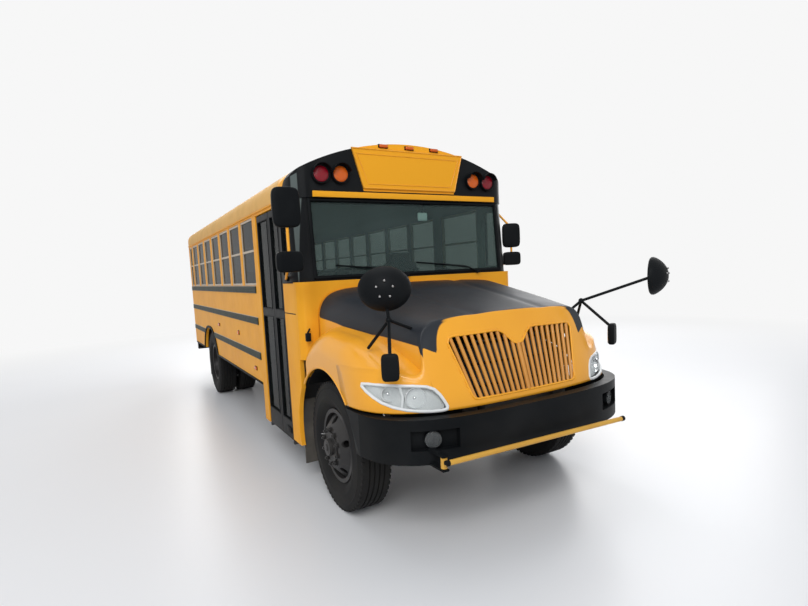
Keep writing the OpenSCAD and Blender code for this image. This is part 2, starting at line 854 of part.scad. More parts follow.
egg_x = mirror_out - dome_swing - dome_drop + (dome_t + dome_axis + dome_drop) * sin(dome_turn);
egg_y = -(bumper_reach - 30);           // foremost reach stays behind the arm

// Stalk, lower mirror and legs of one side, drawn on the left.
module mirror_stalk(head) {
    hub = [965, -730, 1600];
    bar(head, hub, 14);
    translate(hub) sphere(r = 22, $fn = 24);
    bar(hub, [1078, -935, 1385], 12);
    translate([1085, -946, 1312]) rotate([0, 0, dome_turn]) box(-60, 60, -40, 20, -95, 90);
    difference() {
        union() {
            bar(hub, [700, -760, 1480], 12);
            bar(hub, [1075, -560, 1370], 12);
        }
        hood_solid(0);
    }
}

module cross_view_mirrors() {
    color("black") at_axle() {
        mirror([1, 0, 0]) {
            translate([970, -700, 1820]) rotate([0, 0, dome_turn]) dome();
            mirror_stalk([970, -695, 1820]);
        }
        translate([egg_x, egg_y, 1795]) rotate([0, 0, dome_turn]) dome();
        mirror_stalk([egg_x - 5, egg_y + 8, 1795]);
    }
}

// ---------- lamps ----------
module lamp_y(x, z, r, y0, y1) {
    translate([x, y1, z]) rotate([90, 0, 0]) cylinder(h = y1 - y0, r = r);
}

module lamps() {
    color("orangered") at_axle() {
        both() {
            for (y = [cap_y - 40, body_end]) {
                lamp_y(lamp_x + lamp_pitch / 2, 2836, lamp_r, y, y + 40);
                lamp_y(lamp_x - lamp_pitch / 2, 2843, lamp_r, y, y + 40);
            }
            lamp_y(hw - 319, 1280, lamp_r, body_end, body_end + 40);
            lamp_y(hw - 519, 1280, lamp_r, body_end, body_end + 40);
        }
    }
}

module mud_flaps() {
    color("black") at_axle() both() {
        box(hw - 175, hw - cowl_t, 700, 712, 175, skirt_z + 60);
        box(house_x + 60, inner_hw - 8, wheelbase + house_half - 27,
            wheelbase + house_half - 15, 220, floor_z);
    }
}

// ---------- hood ----------
// Position along the hood, 0 at the nose and 1 at the cowl.
function along(y) = max(0, min(1.05, (y + 1000) / (hood_back + 1000)));
function shoulder_x(y) = nose_half + 65 + 275 * along(y);
function line_z(y) = 1385 + 168 * along(y);
function crown_z(y) = hood_nose_z + (hood_cowl_z - hood_nose_z) * pow(along(y), 0.9);
function fender_z(y) = line_z(y) - 20
    - (y > 0 ? 190 * pow(y / 445, 2) : 0)
    - (y < -300 ? 150 * pow((-300 - y) / 550, 1.5) : 0);
function edge_drop(x, side) = let (u = max(0, (x - side + 190) / 190))
    190 * (1 - sqrt(max(0, 1 - u * u)));

// Fractions from the middle out to the shoulder, and on to the fender's side.
inner_steps = [0, 0.2, 0.4, 0.6, 0.76, 0.88, 0.95, 0.985, 1];
outer_steps = [0.06, 0.2, 0.4, 0.6, 0.75, 0.86, 0.94, 1];
top_steps = [0, 0.1, 0.25, 0.4, 0.55, 0.7, 0.8, 0.88, 0.94, 0.98, 1];
face_steps = [0.25, 0.5, 0.75, 1];
shoulder_k = len(inner_steps) - 1;
side_k = shoulder_k + len(outer_steps);

function hood_x(k, y, in) = let (s = shoulder_x(y) - in * 0.8, side = hood_side - in)
    k <= shoulder_k
    ? inner_steps[k] * s
    : s + (side - s) * outer_steps[k - shoulder_k - 1];
function hood_z(k, y, in) = let (f = inner_steps[k])
    k <= shoulder_k
    ? line_z(y) - in + (crown_z(y) - line_z(y) - 40 * f * f) * sqrt(1 - pow(f, 12))
    : fender_z(y) - in + 20 * max(0, 1 - outer_steps[k - shoulder_k - 1] * 4)
        - edge_drop(hood_x(k, y, in), hood_side - in);
function face_y(x, z, in) =
    sweep_y(x, nose_reach - in, hood_side - in + 0.01, 3, 750) + (z - hood_z0) * tan(nose_lean);

// One column of the surface, from the cowl forward and down the nose.
function hood_column(k, in) =
    let (x1 = hood_x(k, -950, in),
        z1 = hood_z(k, face_y(x1, 1350, in), in),
        y1 = face_y(x1, z1, in),
        y0 = hood_back + (in > 0 ? 40 : 0),
        foot = in > 0 ? hood_z0 - 40 : hood_z0)
    concat(
        [for (v = top_steps) let (y = y0 + (y1 - y0) * v)
            [hood_x(k, y, in), y, hood_z(k, y, in)]],
        [for (v = face_steps)
            let (x = hood_x(k, y1, in) - v * (k <= shoulder_k ? inner_steps[k] : 1
                - (k - shoulder_k) / len(outer_steps)) * 45,
                z = hood_z(k, y1, in) * (1 - v) + foot * v)
            [x, face_y(x, z, in), z]]);

// Closed solid under the hood's surface, drawn in by a given amount.
module hood_solid(in) {
    cols = [for (k = [-side_k : side_k]) let (c = hood_column(abs(k), in))
        [for (p = c) [k < 0 ? -p[0] : p[0], p[1], p[2]]]];
    n = 2 * side_k + 1;
    m = len(cols[0]);
    foot = cols[0][m - 1][2];
    back = cols[0][0][1];
    low = n * m;
    last = (n - 1) * m;
    points = concat([for (c = cols) each c], [for (c = cols) [c[0][0], back, foot]]);
    skin = [for (i = [0 : n - 2]) for (j = [0 : m - 2])
        let (a = i * m + j, b = a + 1, c = a + m, d = c + 1)
        each (i < side_k ? [[a, c, b], [b, c, d]] : [[a, c, d], [a, d, b]])];
    rear = [for (i = [0 : n - 2]) let (a = i * m, b = a + m, c = low + i, d = c + 1)
        each [[b, a, c], [b, c, d]]];
    base = [for (i = [0 : n - 2]) let (a = i * m + m - 1, b = a + m, c = low + i, d = c + 1)
        each [[a, b, d], [a, d, c]]];
    sides = [for (j = [0 : m - 2])
        each [[low, j, j + 1], [low + n - 1, last + j + 1, last + j]]];
    polyhedron(points = points, faces = concat(skin, rear, base, sides));
}

// Frame of reference that leans with the nose, its origin at the lower edge.
module on_nose() {
    translate([0, -nose_reach, hood_z0]) rotate([-nose_lean, 0, 0]) children();
}

// Upright band behind the nose's surface, between two depths.
module nose_band(d0, d1) {
    on_nose() translate([0, nose_reach, -200]) linear_extrude(600) difference() {
        swept_plan(nose_reach - d0, hood_side, 3, 750, -250);
        swept_plan(nose_reach - d1, hood_side - d1, 3, 750, -200);
    }
}

module grille_outline(in) {
    polygon([[0, 375 - in * 1.6], [150, 490 - in], [575 - in, 490 - in], [450 - in, 50 + in],
        [-450 + in, 50 + in], [-575 + in, 490 - in], [-150, 490 - in]]);
}

module lamp_outline(out) {
    offset(delta = out)
        polygon([[795, 1136], [990, 1155], [1120, 1161], [1166, 1160], [1152, 1120],
            [1118, 1068], [1035, 1013], [890, 982], [762, 978], [694, 988], [748, 1072]]);
}

// Ear that hangs from the hood's lower lip and turns on the hinge pin.
module hood_ear() {
    difference() {
        intersection() {
            union() {
                rod_x(ear_x, ear_x + ear_t, hinge_y, hinge_z, 24);
                box(ear_x, ear_x + ear_t, hinge_y - 40, hinge_y + 24, hinge_z, hood_z0 + 28);
            }
            union() {
                hood_solid(hood_t - 6);
                box(0, hw, hinge_y - 24, hinge_y + 30, hinge_z - 30, hood_z0 + 28);
            }
        }
        rod_x(0, hw, hinge_y, hinge_z, hinge_r + pin_gap);
    }
}

module hood() {
    color("gold") at_axle() {
        difference() {
            hood_solid(0);
            hood_solid(hood_t);
            rod_x(-hw - 60, hw + 60, arch_y, tyre_r, arch_r);
            on_nose() along_y(-200, 200) grille_outline(0);
            both() along_y(-1300, -500) lamp_outline(0);
        }
        both() hood_ear();
    }
}

bar_count = 10;                         // grille bars on each side
module grille() {
    color("gold") at_axle() on_nose() intersection() {
        union() {
            both() for (i = [0 : bar_count - 1]) {
                foot = 34 + i * 44;
                head = 40 + i * 56;
                bar([foot, 26, 40], [head, 26, 500], 13);
            }
            box(-18, 18, 8, 40, 40, 400);
            for (z = [110, 270, 420])
                box(-600, 600, 30, 50, z, z + 30);
        }
        along_y(0, 60) grille_outline(0.2);
    }
}

module headlamps() {
    color("white") at_axle() both() intersection() {
        nose_band(0, 70);
        along_y(-1300, -500) lamp_outline(-0.5);
    }
}

// ---------- arms ----------
module crossing_arm() {
    color("yellow") at_axle() {
        difference() {
            union() {
                rod_z(pivot_x, pivot_y, arm_z - 35, arm_z + 35, 22);
                box(pivot_x - 14, pivot_x + 14, -arm_front + 20, pivot_y, arm_z, arm_z + 24);
            }
            rod_z(pivot_x, pivot_y, 0, 1000, pivot_r + pin_gap);
        }
        bar([pivot_x - 20, -arm_front + 18, arm_z + 12],
            [pivot_x + 1680, -arm_front + 18, arm_z - 12], 18);
    }
}

module stop_arm() {
    color("firebrick") at_axle() {
        translate([stop_x - 7, stop_y + 330, stop_z]) rotate([22.5, 0, 0])
            rotate([0, 90, 0]) cylinder(h = 14, r = 240, $fn = 8);
        difference() {
            union() {
                rod_z(stop_x, stop_y, stop_z - 99, stop_z + 99, 12);
                box(stop_x - 7, stop_x + 7, stop_y, stop_y + 115, stop_z - 80, stop_z + 80);
            }
            rod_z(stop_x, stop_y, 0, 3000, stop_r + pin_gap);
        }
    }
}

// ---------- doors ----------
leaf_panes = [[520, 1540], [1620, door_z1 - 60]];

// A leaf with a round edge about its pins, so that it turns clear of the jamb.
module door_leaf(y0, y1, pin_y, free_y) {
    x = hw - 8;
    difference() {
        union() {
            box(x - door_t, x, min(pin_y, free_y), max(pin_y, free_y), door_z0, door_z1);
            rod_z(leaf_pin_x, pin_y, door_z0, door_z1, door_t / 2);
        }
        for (z = leaf_panes)
            box(x - door_t - 5, x + 5, y0 + 55, y1 - 55, z[0], z[1]);
    }
    rod_z(leaf_pin_x, pin_y, door_z1 - 1, door_z1 + 36, leaf_pin_r);
    rod_z(leaf_pin_x, pin_y, door_z0 - 32, door_z0 + 1, leaf_pin_r);
}

module leaf_glass(y0, y1) {
    x = hw - 8 - door_t / 2;
    for (z = leaf_panes)
        box(x - glass_t / 2, x + glass_t / 2, y0 + 55, y1 - 55, z[0], z[1]);
}

module door_leaf_front() {
    color("black") at_axle() mirror([1, 0, 0])
        door_leaf(leaf_a[0], leaf_a[1], leaf_pins[0], leaf_a[1]);
}

module door_leaf_rear() {
    color("black") at_axle() mirror([1, 0, 0])
        door_leaf(leaf_b[0], leaf_b[1], leaf_pins[1], leaf_b[0]);
}

module door_glass_front() {
    color("slategray", 0.5) at_axle() mirror([1, 0, 0]) leaf_glass(leaf_a[0], leaf_a[1]);
}

module door_glass_rear() {
    color("slategray", 0.5) at_axle() mirror([1, 0, 0]) leaf_glass(leaf_b[0], leaf_b[1]);
}

exit_panes = [[1240, 1640], [1860, exit_top_z - 90]];

module emergency_door() {
    color("goldenrod") at_axle() difference() {
        union() {
            box(-exit_half + 6, exit_half - 6, body_end - 40, body_end, floor_z + 6,
                exit_top_z - 6);
            for (z = exit_hinges) {
                box(-exit_half + 6, -exit_half + 70, body_end - 1, body_end + 12,
                    z - 14, z + 26);
                rod_z(exit_pin_x, exit_pin_y, z - 14, z + 26, 9);
            }
        }
        for (z = exit_hinges)
            rod_z(exit_pin_x, exit_pin_y, z - 20, z + 40, exit_pin_r + pin_gap);
        for (z = exit_panes)
            box(-exit_half + 90, exit_half - 90, body_end - 50, body_end + 10,
                z[0], z[1]);
    }
}

module emergency_glass() {
    color("slategray", 0.5) at_axle()
        for (z = exit_panes)
            box(-exit_half + 90, exit_half - 90, body_end - 25, body_end - 25 + glass_t,
                z[0], z[1]);
}

// ---------- steering and wheels ----------
module knuckle() {
    rod_z(kingpin_x, 0, 432, 632, kingpin_r);
    box(kingpin_x - 45, kingpin_x + 95, -45, 45, 588, 630);
    box(kingpin_x - 45, kingpin_x + 95, -45, 45, 434, 476);
    box(kingpin_x + 60, kingpin_x + 95, -60, 60, 434, 630);
    rod_x(kingpin_x + 90, front_tyre_x + 185, 0, tyre_r, spindle_r);
}

module knuckle_left() {
    color("black") at_axle() knuckle();
}

module knuckle_right() {
    color("black") at_axle() mirror([1, 0, 0]) knuckle();
}

// Turns a wheel profile of radius and offset about the x axis.
module spun(x, y) {
    translate([x, y, tyre_r]) rotate([0, 90, 0]) rotate_extrude($fn = 96) children();
}

module hand_holes(x, y, h0, h1) {
    for (a = [0 : 72 : 359])
        translate([x, y, tyre_r]) rotate([a, 0, 0]) translate([0, 0, 216])
            rotate([0, 90, 0]) translate([0, 0, h0]) cylinder(h = h1 - h0, r = 28);
}

half_rim = 105;
module barrel_profile() {
    polygon([[rim_r - 14, -half_rim], [rim_r + 19, -half_rim], [rim_r + 19, -half_rim + 12],
        [rim_r, -half_rim + 14], [rim_r, half_rim - 14], [rim_r + 19, half_rim - 12],
        [rim_r + 19, half_rim], [rim_r - 14, half_rim]]);
}

module front_rim() {
    difference() {
        union() {
            spun(front_tyre_x, 0) {
                barrel_profile();
                polygon([[rim_r - 13, 40], [rim_r - 13, 58], [175, 150], [80, 150],
                    [80, 136], [170, 136]]);
                polygon([[spindle_r + pin_gap, 20], [120, 20], [120, 160], [70, 160],
                    [70, 176], [spindle_r + pin_gap, 176]]);
            }
        }
        hand_holes(front_tyre_x, 0, 20, 200);
    }
    rod_x(front_tyre_x + 186, front_tyre_x + 196, 0, tyre_r, 68);
    spun(front_tyre_x, 0)
        polygon([[60, 176], [68, 176], [68, 187], [60, 187]]);
}

module front_rim_left() {
    color("darkslategray") at_axle() front_rim();
}

module front_rim_right() {
    color("darkslategray") at_axle() mirror([1, 0, 0]) front_rim();
}

module tyre_profile() {
    w = tyre_w / 2;
    b = half_rim;
    low = rim_r + (tyre_r - rim_r) * 0.45;  // where the sidewall is widest
    high = tyre_r - (tyre_r - rim_r) * 0.37;
    polygon([[rim_r + 0.2, 14.3 - b], [rim_r + 19.4, 12.3 - b], [rim_r + 34, 2 - b],
        [low, -w], [high, -w], [tyre_r - 20, 16 - w], [tyre_r, 44 - w],
        [tyre_r, w - 44], [tyre_r - 20, w - 16], [high, w], [low, w],
        [rim_r + 34, b - 2], [rim_r + 19.4, b - 12.3], [rim_r + 0.2, b - 14.3]]);
}

module front_tyre_left() {
    color("black") at_axle() spun(front_tyre_x, 0) tyre_profile();
}

module front_tyre_right() {
    color("black") at_axle() mirror([1, 0, 0]) spun(front_tyre_x, 0) tyre_profile();
}

module rear_rims() {
    mid = -twin_pitch / 2;
    difference() {
        union() {
            spun(rear_tyre_x, wheelbase) {
                barrel_profile();
                translate([0, -twin_pitch]) barrel_profile();
                polygon([[rim_r - 13, -40], [rim_r - 13, -56], [180, mid], [90, mid],
                    [90, mid + 14], [176, mid + 14]]);
                polygon([[rim_r - 13, -twin_pitch + 40], [rim_r - 13, -twin_pitch + 56],
                    [180, mid], [90, mid], [90, mid - 14], [176, mid - 14]]);
                polygon([[spindle_r + pin_gap, mid + 2], [110, mid + 2], [110, 30],
                    [70, 60], [spindle_r + pin_gap, 60]]);
            }
        }
        hand_holes(rear_tyre_x, wheelbase, mid - 110, mid + 110);
    }
}

module rear_rims_left() {
    color("darkslategray") at_axle() rear_rims();
}

module rear_rims_right() {
    color("darkslategray") at_axle() mirror([1, 0, 0]) rear_rims();
}

module rear_tyres() {
    for (x = [rear_tyre_x, rear_tyre_x - twin_pitch])
        spun(x, wheelbase) tyre_profile();
}

module rear_tyres_left() {
    color("black") at_axle() rear_tyres();
}

module rear_tyres_right() {
    color("black") at_axle() mirror([1, 0, 0]) rear_tyres();
}

chassis_frame();
engine();
front_axle();
rear_axle();
leaf_springs();
driveshaft();
fuel_tank();
exhaust();
floor();
left_side();
right_side();
roof();
front_cap();
cowl();
rear_end();
windshield();
side_windows();
window_sashes();
rub_rails();
front_bumper();
rear_bumper();
dashboard();
steering_wheel();
driver_seat();
passenger_seats();
side_mirrors();
lamps();
mud_flaps();
hood();
grille();
headlamps();
cross_view_mirrors();
crossing_arm();
stop_arm();
door_leaf_front();
door_leaf_rear();
door_glass_front();
door_glass_rear();
emergency_door();
emergency_glass();
knuckle_left();
knuckle_right();
front_rim_left();
front_rim_right();
front_tyre_left();
front_tyre_right();
rear_rims_left();
rear_rims_right();
rear_tyres_left();
rear_tyres_right();
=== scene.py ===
"""Looks of a full-size bonneted school bus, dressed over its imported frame.

Every size is in metres. Lengths along the bus are written from the front axle, and at() moves a
point into the bus's own frame, where +Z is up and the front faces -Y.
"""

from __future__ import annotations

import enum
import json
import logging
import math
from dataclasses import dataclass
from typing import Callable, Sequence

import bmesh
import bpy
from mathutils import Matrix, Vector

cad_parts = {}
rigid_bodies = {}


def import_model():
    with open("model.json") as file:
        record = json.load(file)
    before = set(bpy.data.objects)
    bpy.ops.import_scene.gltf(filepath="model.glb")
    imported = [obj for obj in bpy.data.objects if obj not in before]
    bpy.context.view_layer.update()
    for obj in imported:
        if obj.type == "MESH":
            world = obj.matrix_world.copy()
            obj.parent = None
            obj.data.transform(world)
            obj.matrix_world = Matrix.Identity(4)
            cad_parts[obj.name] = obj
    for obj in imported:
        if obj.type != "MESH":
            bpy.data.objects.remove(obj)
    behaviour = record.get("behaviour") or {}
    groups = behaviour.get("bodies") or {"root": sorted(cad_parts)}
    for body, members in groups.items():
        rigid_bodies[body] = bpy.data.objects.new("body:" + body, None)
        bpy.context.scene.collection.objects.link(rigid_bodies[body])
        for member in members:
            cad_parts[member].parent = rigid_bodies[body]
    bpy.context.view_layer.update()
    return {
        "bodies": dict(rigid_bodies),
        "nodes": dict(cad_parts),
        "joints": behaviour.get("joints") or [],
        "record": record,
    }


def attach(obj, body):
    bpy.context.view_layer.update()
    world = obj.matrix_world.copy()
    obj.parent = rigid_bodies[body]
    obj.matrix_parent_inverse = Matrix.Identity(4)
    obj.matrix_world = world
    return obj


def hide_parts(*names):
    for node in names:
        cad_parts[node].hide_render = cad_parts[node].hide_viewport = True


LOG = logging.getLogger("school_bus")

AXLE_Y = -3.115
HALF_WIDTH = 1.219
WHEELBASE = 5.512
TYRE_R = 0.532
POST_Y = 1.983
SIDE_END = 7.280
BODY_END = 7.430
WINDOW_PITCH = 0.711
FLOOR_TOP = 1.041
ALONG_X, ALONG_Y, UP = Vector((1, 0, 0)), Vector((0, 1, 0)), Vector((0, 0, 1))

Colour = tuple[float, float, float]
Outline = list[tuple[float, float]]


def at(x: float, y: float, z: float) -> Vector:
    """Returns a point given from the front axle in the bus's own frame.

    Args:
        x: Across the bus, positive on the driver's side.
        y: Along the bus, positive behind the front axle.
        z: Height over the road.
    """
    return Vector((x, y + AXLE_Y, z))


def clamp(value: float, low: float, high: float) -> float:
    """Limits a value to a range."""
    return max(low, min(high, value))


def spread(count: int, low: float, high: float) -> list[float]:
    """Returns evenly spaced values, both ends included."""
    return [low + (high - low) * i / (count - 1) for i in range(count)]


def arc(centre: tuple[float, float], radius: float, start: float, end: float,
        count: int) -> Outline:
    """Returns points on an arc.

    Args:
        centre: Middle of the arc in its plane.
        radius: Radius of the arc.
        start: First angle in degrees.
        end: Last angle in degrees.
        count: Number of points.
    """
    return [(centre[0] + radius * math.cos(math.radians(a)),
             centre[1] + radius * math.sin(math.radians(a))) for a in spread(count, start, end)]


def rectangle(low: tuple[float, float], high: tuple[float, float]) -> Outline:
    """Returns a rectangle's corners in order round it."""
    return [low, (high[0], low[1]), high, (low[0], high[1])]


class Side(enum.IntEnum):
    """The two sides of the bus, as the sign of x."""

    DOOR = -1
    DRIVER = 1


class Axis(enum.Enum):
    """Direction in which an outline is drawn out."""

    X = "x"
    Y = "y"


# ---------------------------------------------------------------- shaders
class Sock:
    """A shader value on which plain arithmetic builds nodes."""

    def __init__(self, tree: "Tree", socket: bpy.types.NodeSocket) -> None:
        self.tree = tree
        self.socket = socket

    def _math(self, operation: str, *values: "Sock | float") -> "Sock":
        return self.tree.node("ShaderNodeMath", dict(enumerate(values)), operation=operation)

    def __add__(self, other: "Sock | float") -> "Sock":
        return self._math("ADD", self, other)

    def __radd__(self, other: float) -> "Sock":
        return self._math("ADD", other, self)

    def __sub__(self, other: "Sock | float") -> "Sock":
        return self._math("SUBTRACT", self, other)

    def __rsub__(self, other: float) -> "Sock":
        return self._math("SUBTRACT", other, self)

    def __mul__(self, other: "Sock | float") -> "Sock":
        return self._math("MULTIPLY", self, other)

    def __truediv__(self, other: "Sock | float") -> "Sock":
        return self._math("DIVIDE", self, other)

    def __abs__(self) -> "Sock":
        return self._math("ABSOLUTE", self)

    def most(self, other: "Sock | float") -> "Sock":
        """Returns the larger of two values."""
        return self._math("MAXIMUM", self, other)

    def least(self, other: "Sock | float") -> "Sock":
        """Returns the smaller of two values."""
        return self._math("MINIMUM", self, other)

    def waves(self, pitch: float) -> "Sock":
        """Returns a triangle wave from 0 to 0.5 that repeats at a pitch."""
        return self._math("PINGPONG", self / pitch, 0.5)

    def step(self, low: float, high: float) -> "Sock":
        """Returns a smooth 0 to 1 between two values of this one."""
        sockets = {"Value": self, "From Min": low, "From Max": high}
        return self.tree.node("ShaderNodeMapRange", sockets, interpolation_type="SMOOTHSTEP")


Value = Sock | float | tuple


class Tree:
    """A material's node tree."""

    def __init__(self, name: str) -> None:
        self.material = bpy.data.materials.new(name)
        self.material.use_nodes = True
        self.nodes = self.material.node_tree.nodes
        self.links = self.material.node_tree.links
        self.nodes.clear()

    def node(self, kind: str, sockets: dict[int | str, Value] | None = None,
             out: int | str = 0, **settings: object) -> Sock:
        """Adds one node and returns one of its outputs.

        Args:
            kind: Blender's name of the node type.
            sockets: Input values by index or name, each a Sock or a constant.
            out: The output to return, by index or name.
            **settings: Properties of the node itself.
        """
        made = self.nodes.new(kind)
        for key, value in settings.items():
            setattr(made, key, value)
        for key, value in (sockets or {}).items():
            if isinstance(value, Sock):
                self.links.new(value.socket, made.inputs[key])
            else:
                made.inputs[key].default_value = value
        return Sock(self, made.outputs[out])

    def place(self) -> Sock:
        """Returns the object's own coordinates."""
        return self.node("ShaderNodeTexCoord", out="Object")

    def axes(self, place: Sock) -> tuple[Sock, Sock, Sock]:
        """Splits a place into x, y from the front axle, and z."""
        made = self.node("ShaderNodeSeparateXYZ", {0: place}).socket.node
        x, y, z = (Sock(self, made.outputs[i]) for i in range(3))
        return x, y - AXLE_Y, z

    def noise(self, place: Sock, scale: float, detail: float = 4.0) -> Sock:
        """Returns a noise value between 0 and 1."""
        return self.node("ShaderNodeTexNoise",
                         {"Vector": place, "Scale": scale, "Detail": detail})

    def mix(self, factor: Sock, first: Value, second: Value) -> Sock:
        """Mixes two colours."""
        return self.node("ShaderNodeMixRGB", {0: factor, 1: first, 2: second})

    def bump(self, height: Sock, distance: float) -> Sock:
        """Returns a bumped normal."""
        return self.node("ShaderNodeBump", {"Height": height, "Distance": distance,
                                            "Strength": 1.0})

    def principled(self, sockets: dict[int | str, Value]) -> Sock:
        """Adds a Principled BSDF."""
        return self.node("ShaderNodeBsdfPrincipled", sockets)

    def close(self, shader: Sock) -> bpy.types.Material:
        """Connects the final shader and returns the material."""
        output = self.nodes.new("ShaderNodeOutputMaterial")
        self.links.new(shader.socket, output.inputs["Surface"])
        return self.material


def rgb(colour: Sequence[float]) -> tuple[float, float, float, float]:
    """Adds a full alpha to a colour."""
    return (colour[0], colour[1], colour[2], 1.0)


DUST = (0.30, 0.26, 0.21)
# Grey-green of the cabin's inside panels, painted dark to stand in for the shade inside the cabin.
SHADED_LINING = (0.095, 0.115, 0.111)
COAT_ROUGHNESS = 0.08


@dataclass(frozen=True)
class Finish:
    """A surface finish with broad mottling, fine grain, road dust and, where chosen, painted shade
    on the cabin's inner faces.

    Attributes:
        name: Name of the material.
        slot: The record's material slot it belongs to, or an empty string.
        colour: Main base colour.
        second: Colour that the mottling mixes in.
        rough: Lowest and highest roughness.
        metallic: Metallic value.
        coat: Clear coat weight.
        mottle: Scale of the broad noise.
        grain: Scale of the fine noise.
        depth: Height of the fine grain.
        dust: How strongly dust gathers near the road.
        gloss: Specular level.
        shaded_lining: Whether the cabin's inner faces take the dark grey-green inside-panel
            colour, partly the panels' own colour and partly painted shade of the cabin.
    """

    name: str
    slot: str
    colour: Colour
    second: Colour
    rough: tuple[float, float] = (0.35, 0.5)
    metallic: float = 0.0
    coat: float = 0.0
    mottle: float = 3.0
    grain: float = 180.0
    depth: float = 0.0004
    dust: float = 0.0
    gloss: float = 0.5
    shaded_lining: bool = False

    def colour_of(self, tree: Tree, place: Sock) -> Sock:
        """Returns the base colour before dust."""
        return tree.mix(tree.noise(place, self.mottle).step(0.3, 0.75), rgb(self.colour),
                        rgb(self.second))

    def height_of(self, tree: Tree, place: Sock) -> Sock:
        """Returns the height that is bumped."""
        return tree.noise(place, self.grain, 2.0)

    def material(self) -> bpy.types.Material:
        """Returns the finish's material, made on first use."""
        if self.name in bpy.data.materials:
            return bpy.data.materials[self.name]
        tree = Tree(self.name)
        place = tree.place()
        _, _, z = tree.axes(place)
        dirt = (1.0 - z.step(0.1, 1.3)) * tree.noise(place, 2.3, 6.0).step(0.25, 0.8) * self.dust
        colour = tree.mix(dirt, self.colour_of(tree, place), rgb(DUST))
        # Painted shade: the cabin's inner faces take a dark grey-green, partly the inside panels'
        # own colour and partly standing in for the shade inside the cabin.
        if self.shaded_lining:
            colour = tree.mix(inside_cabin(tree, place), colour, rgb(SHADED_LINING))
        low, high = self.rough
        rough = (tree.noise(place, self.mottle * 4.0) * (high - low) + low + dirt * 0.4).least(1.0)
        return tree.close(tree.principled({
            "Base Color": colour, "Roughness": rough, "Metallic": self.metallic,
            "Coat Weight": self.coat, "Coat Roughness": COAT_ROUGHNESS,
            "Specular IOR Level": self.gloss,
            "Normal": tree.bump(self.height_of(tree, place), self.depth)}))


def inside_cabin(tree: Tree, place: Sock) -> Sock:
    """Returns 1 on the inner faces of the walls, roof and cap, where the cabin's shade is painted,
    and 0 outside.
    """
    x, y, z = tree.axes(place)
    half, front, rear, fade = 1.178, 0.546, 7.390, 0.006
    roof_low, roof_r = 0.701, 2.423
    across = 1.0 - abs(x).step(half, half + fade)
    arch = x * x + (z - roof_low) * (z - roof_low)
    under = 1.0 - arch.step(roof_r ** 2, (roof_r + fade) ** 2)
    along = y.step(front, front + fade) * (1.0 - y.step(rear, rear + fade))
    return across * under * along * z.step(FLOOR_TOP - 0.011, FLOOR_TOP - 0.001)


@dataclass(frozen=True)
class PanelPaint(Finish):
    """Body paint with faint upright panel joints below the windows."""

    def height_of(self, tree: Tree, place: Sock) -> Sock:
        """Adds narrow joints to the paint's grain."""
        _, y, z = tree.axes(place)
        joint = 1.0 - (y - POST_Y).waves(WINDOW_PITCH * 2.0).step(0.0, 0.006)
        below = 1.0 - z.step(1.84, 1.86)
        return tree.noise(place, 2.2, 1.0) * 3.0 - joint * below * 4.0


@dataclass(frozen=True)
class RoofPaint(Finish):
    """Roof paint with lap joints across the roof."""

    def height_of(self, tree: Tree, place: Sock) -> Sock:
        """Adds a lap joint at each window post."""
        _, y, _ = tree.axes(place)
        joint = (y - POST_Y).waves(WINDOW_PITCH * 2.0).step(0.0, 0.02)
        return tree.noise(place, 2.2, 1.0) * 2.0 + joint * 3.0


@dataclass(frozen=True)
class CapPaint(Finish):
    """Front cap: dark lamp panels, with a painted middle and sides.

    Attributes:
        panel: Colour of the lamp panels.
    """

    panel: Colour = (0.007, 0.008, 0.009)

    def colour_of(self, tree: Tree, place: Sock) -> Sock:
        """Paints the middle field, the lip and what lies behind the corners."""
        x, y, z = tree.axes(place)
        field = (0.516 + (z - 2.722) * 0.278 - abs(x)).step(-0.002, 0.002) * z.step(2.70, 2.704)
        behind = y.step(0.735, 0.739) * z.step(2.628, 2.632)
        lip = (1.0 - z.step(2.690, 2.694)) * z.step(2.628, 2.632) * (1.0 - y.step(0.50, 0.504))
        paint = field.most(behind).most(lip)
        return tree.mix(paint, rgb(self.panel), rgb(self.colour))


@dataclass(frozen=True)
class HoodPaint(Finish):
    """Hood paint with a satin dark top bounded by the shoulder lines.

    Attributes:
        top: Colour of the dark top.
        worn: Colour that wear mixes into it.
    """

    top: Colour = (0.010, 0.013, 0.018)
    worn: Colour = (0.020, 0.026, 0.034)

    def material(self) -> bpy.types.Material:
        """Mixes the two paints by the shell's own attribute."""
        if self.name in bpy.data.materials:
            return bpy.data.materials[self.name]
        tree = Tree(self.name)
        place = tree.place()
        edge = tree.node("ShaderNodeAttribute", out="Fac", attribute_name="topcoat")
        dark = edge.step(-0.003, 0.003)
        mottled = tree.noise(place, self.mottle)
        worn = tree.mix(tree.noise(place, 1.7, 7.0).step(0.45, 0.8), rgb(self.top),
                        rgb(self.worn))
        colour = tree.mix(dark, tree.mix(mottled, rgb(self.colour), rgb(self.second)), worn)
        rough = dark * (mottled * 0.10 + 0.12) + mottled * 0.08 + 0.28
        return tree.close(tree.principled({
            "Base Color": colour, "Roughness": rough, "Coat Weight": 0.2 - dark * 0.2,
            "Coat Roughness": COAT_ROUGHNESS, "Specular IOR Level": 0.3,
            "Normal": tree.bump(tree.noise(place, 3.0, 1.0), 0.0006)}))


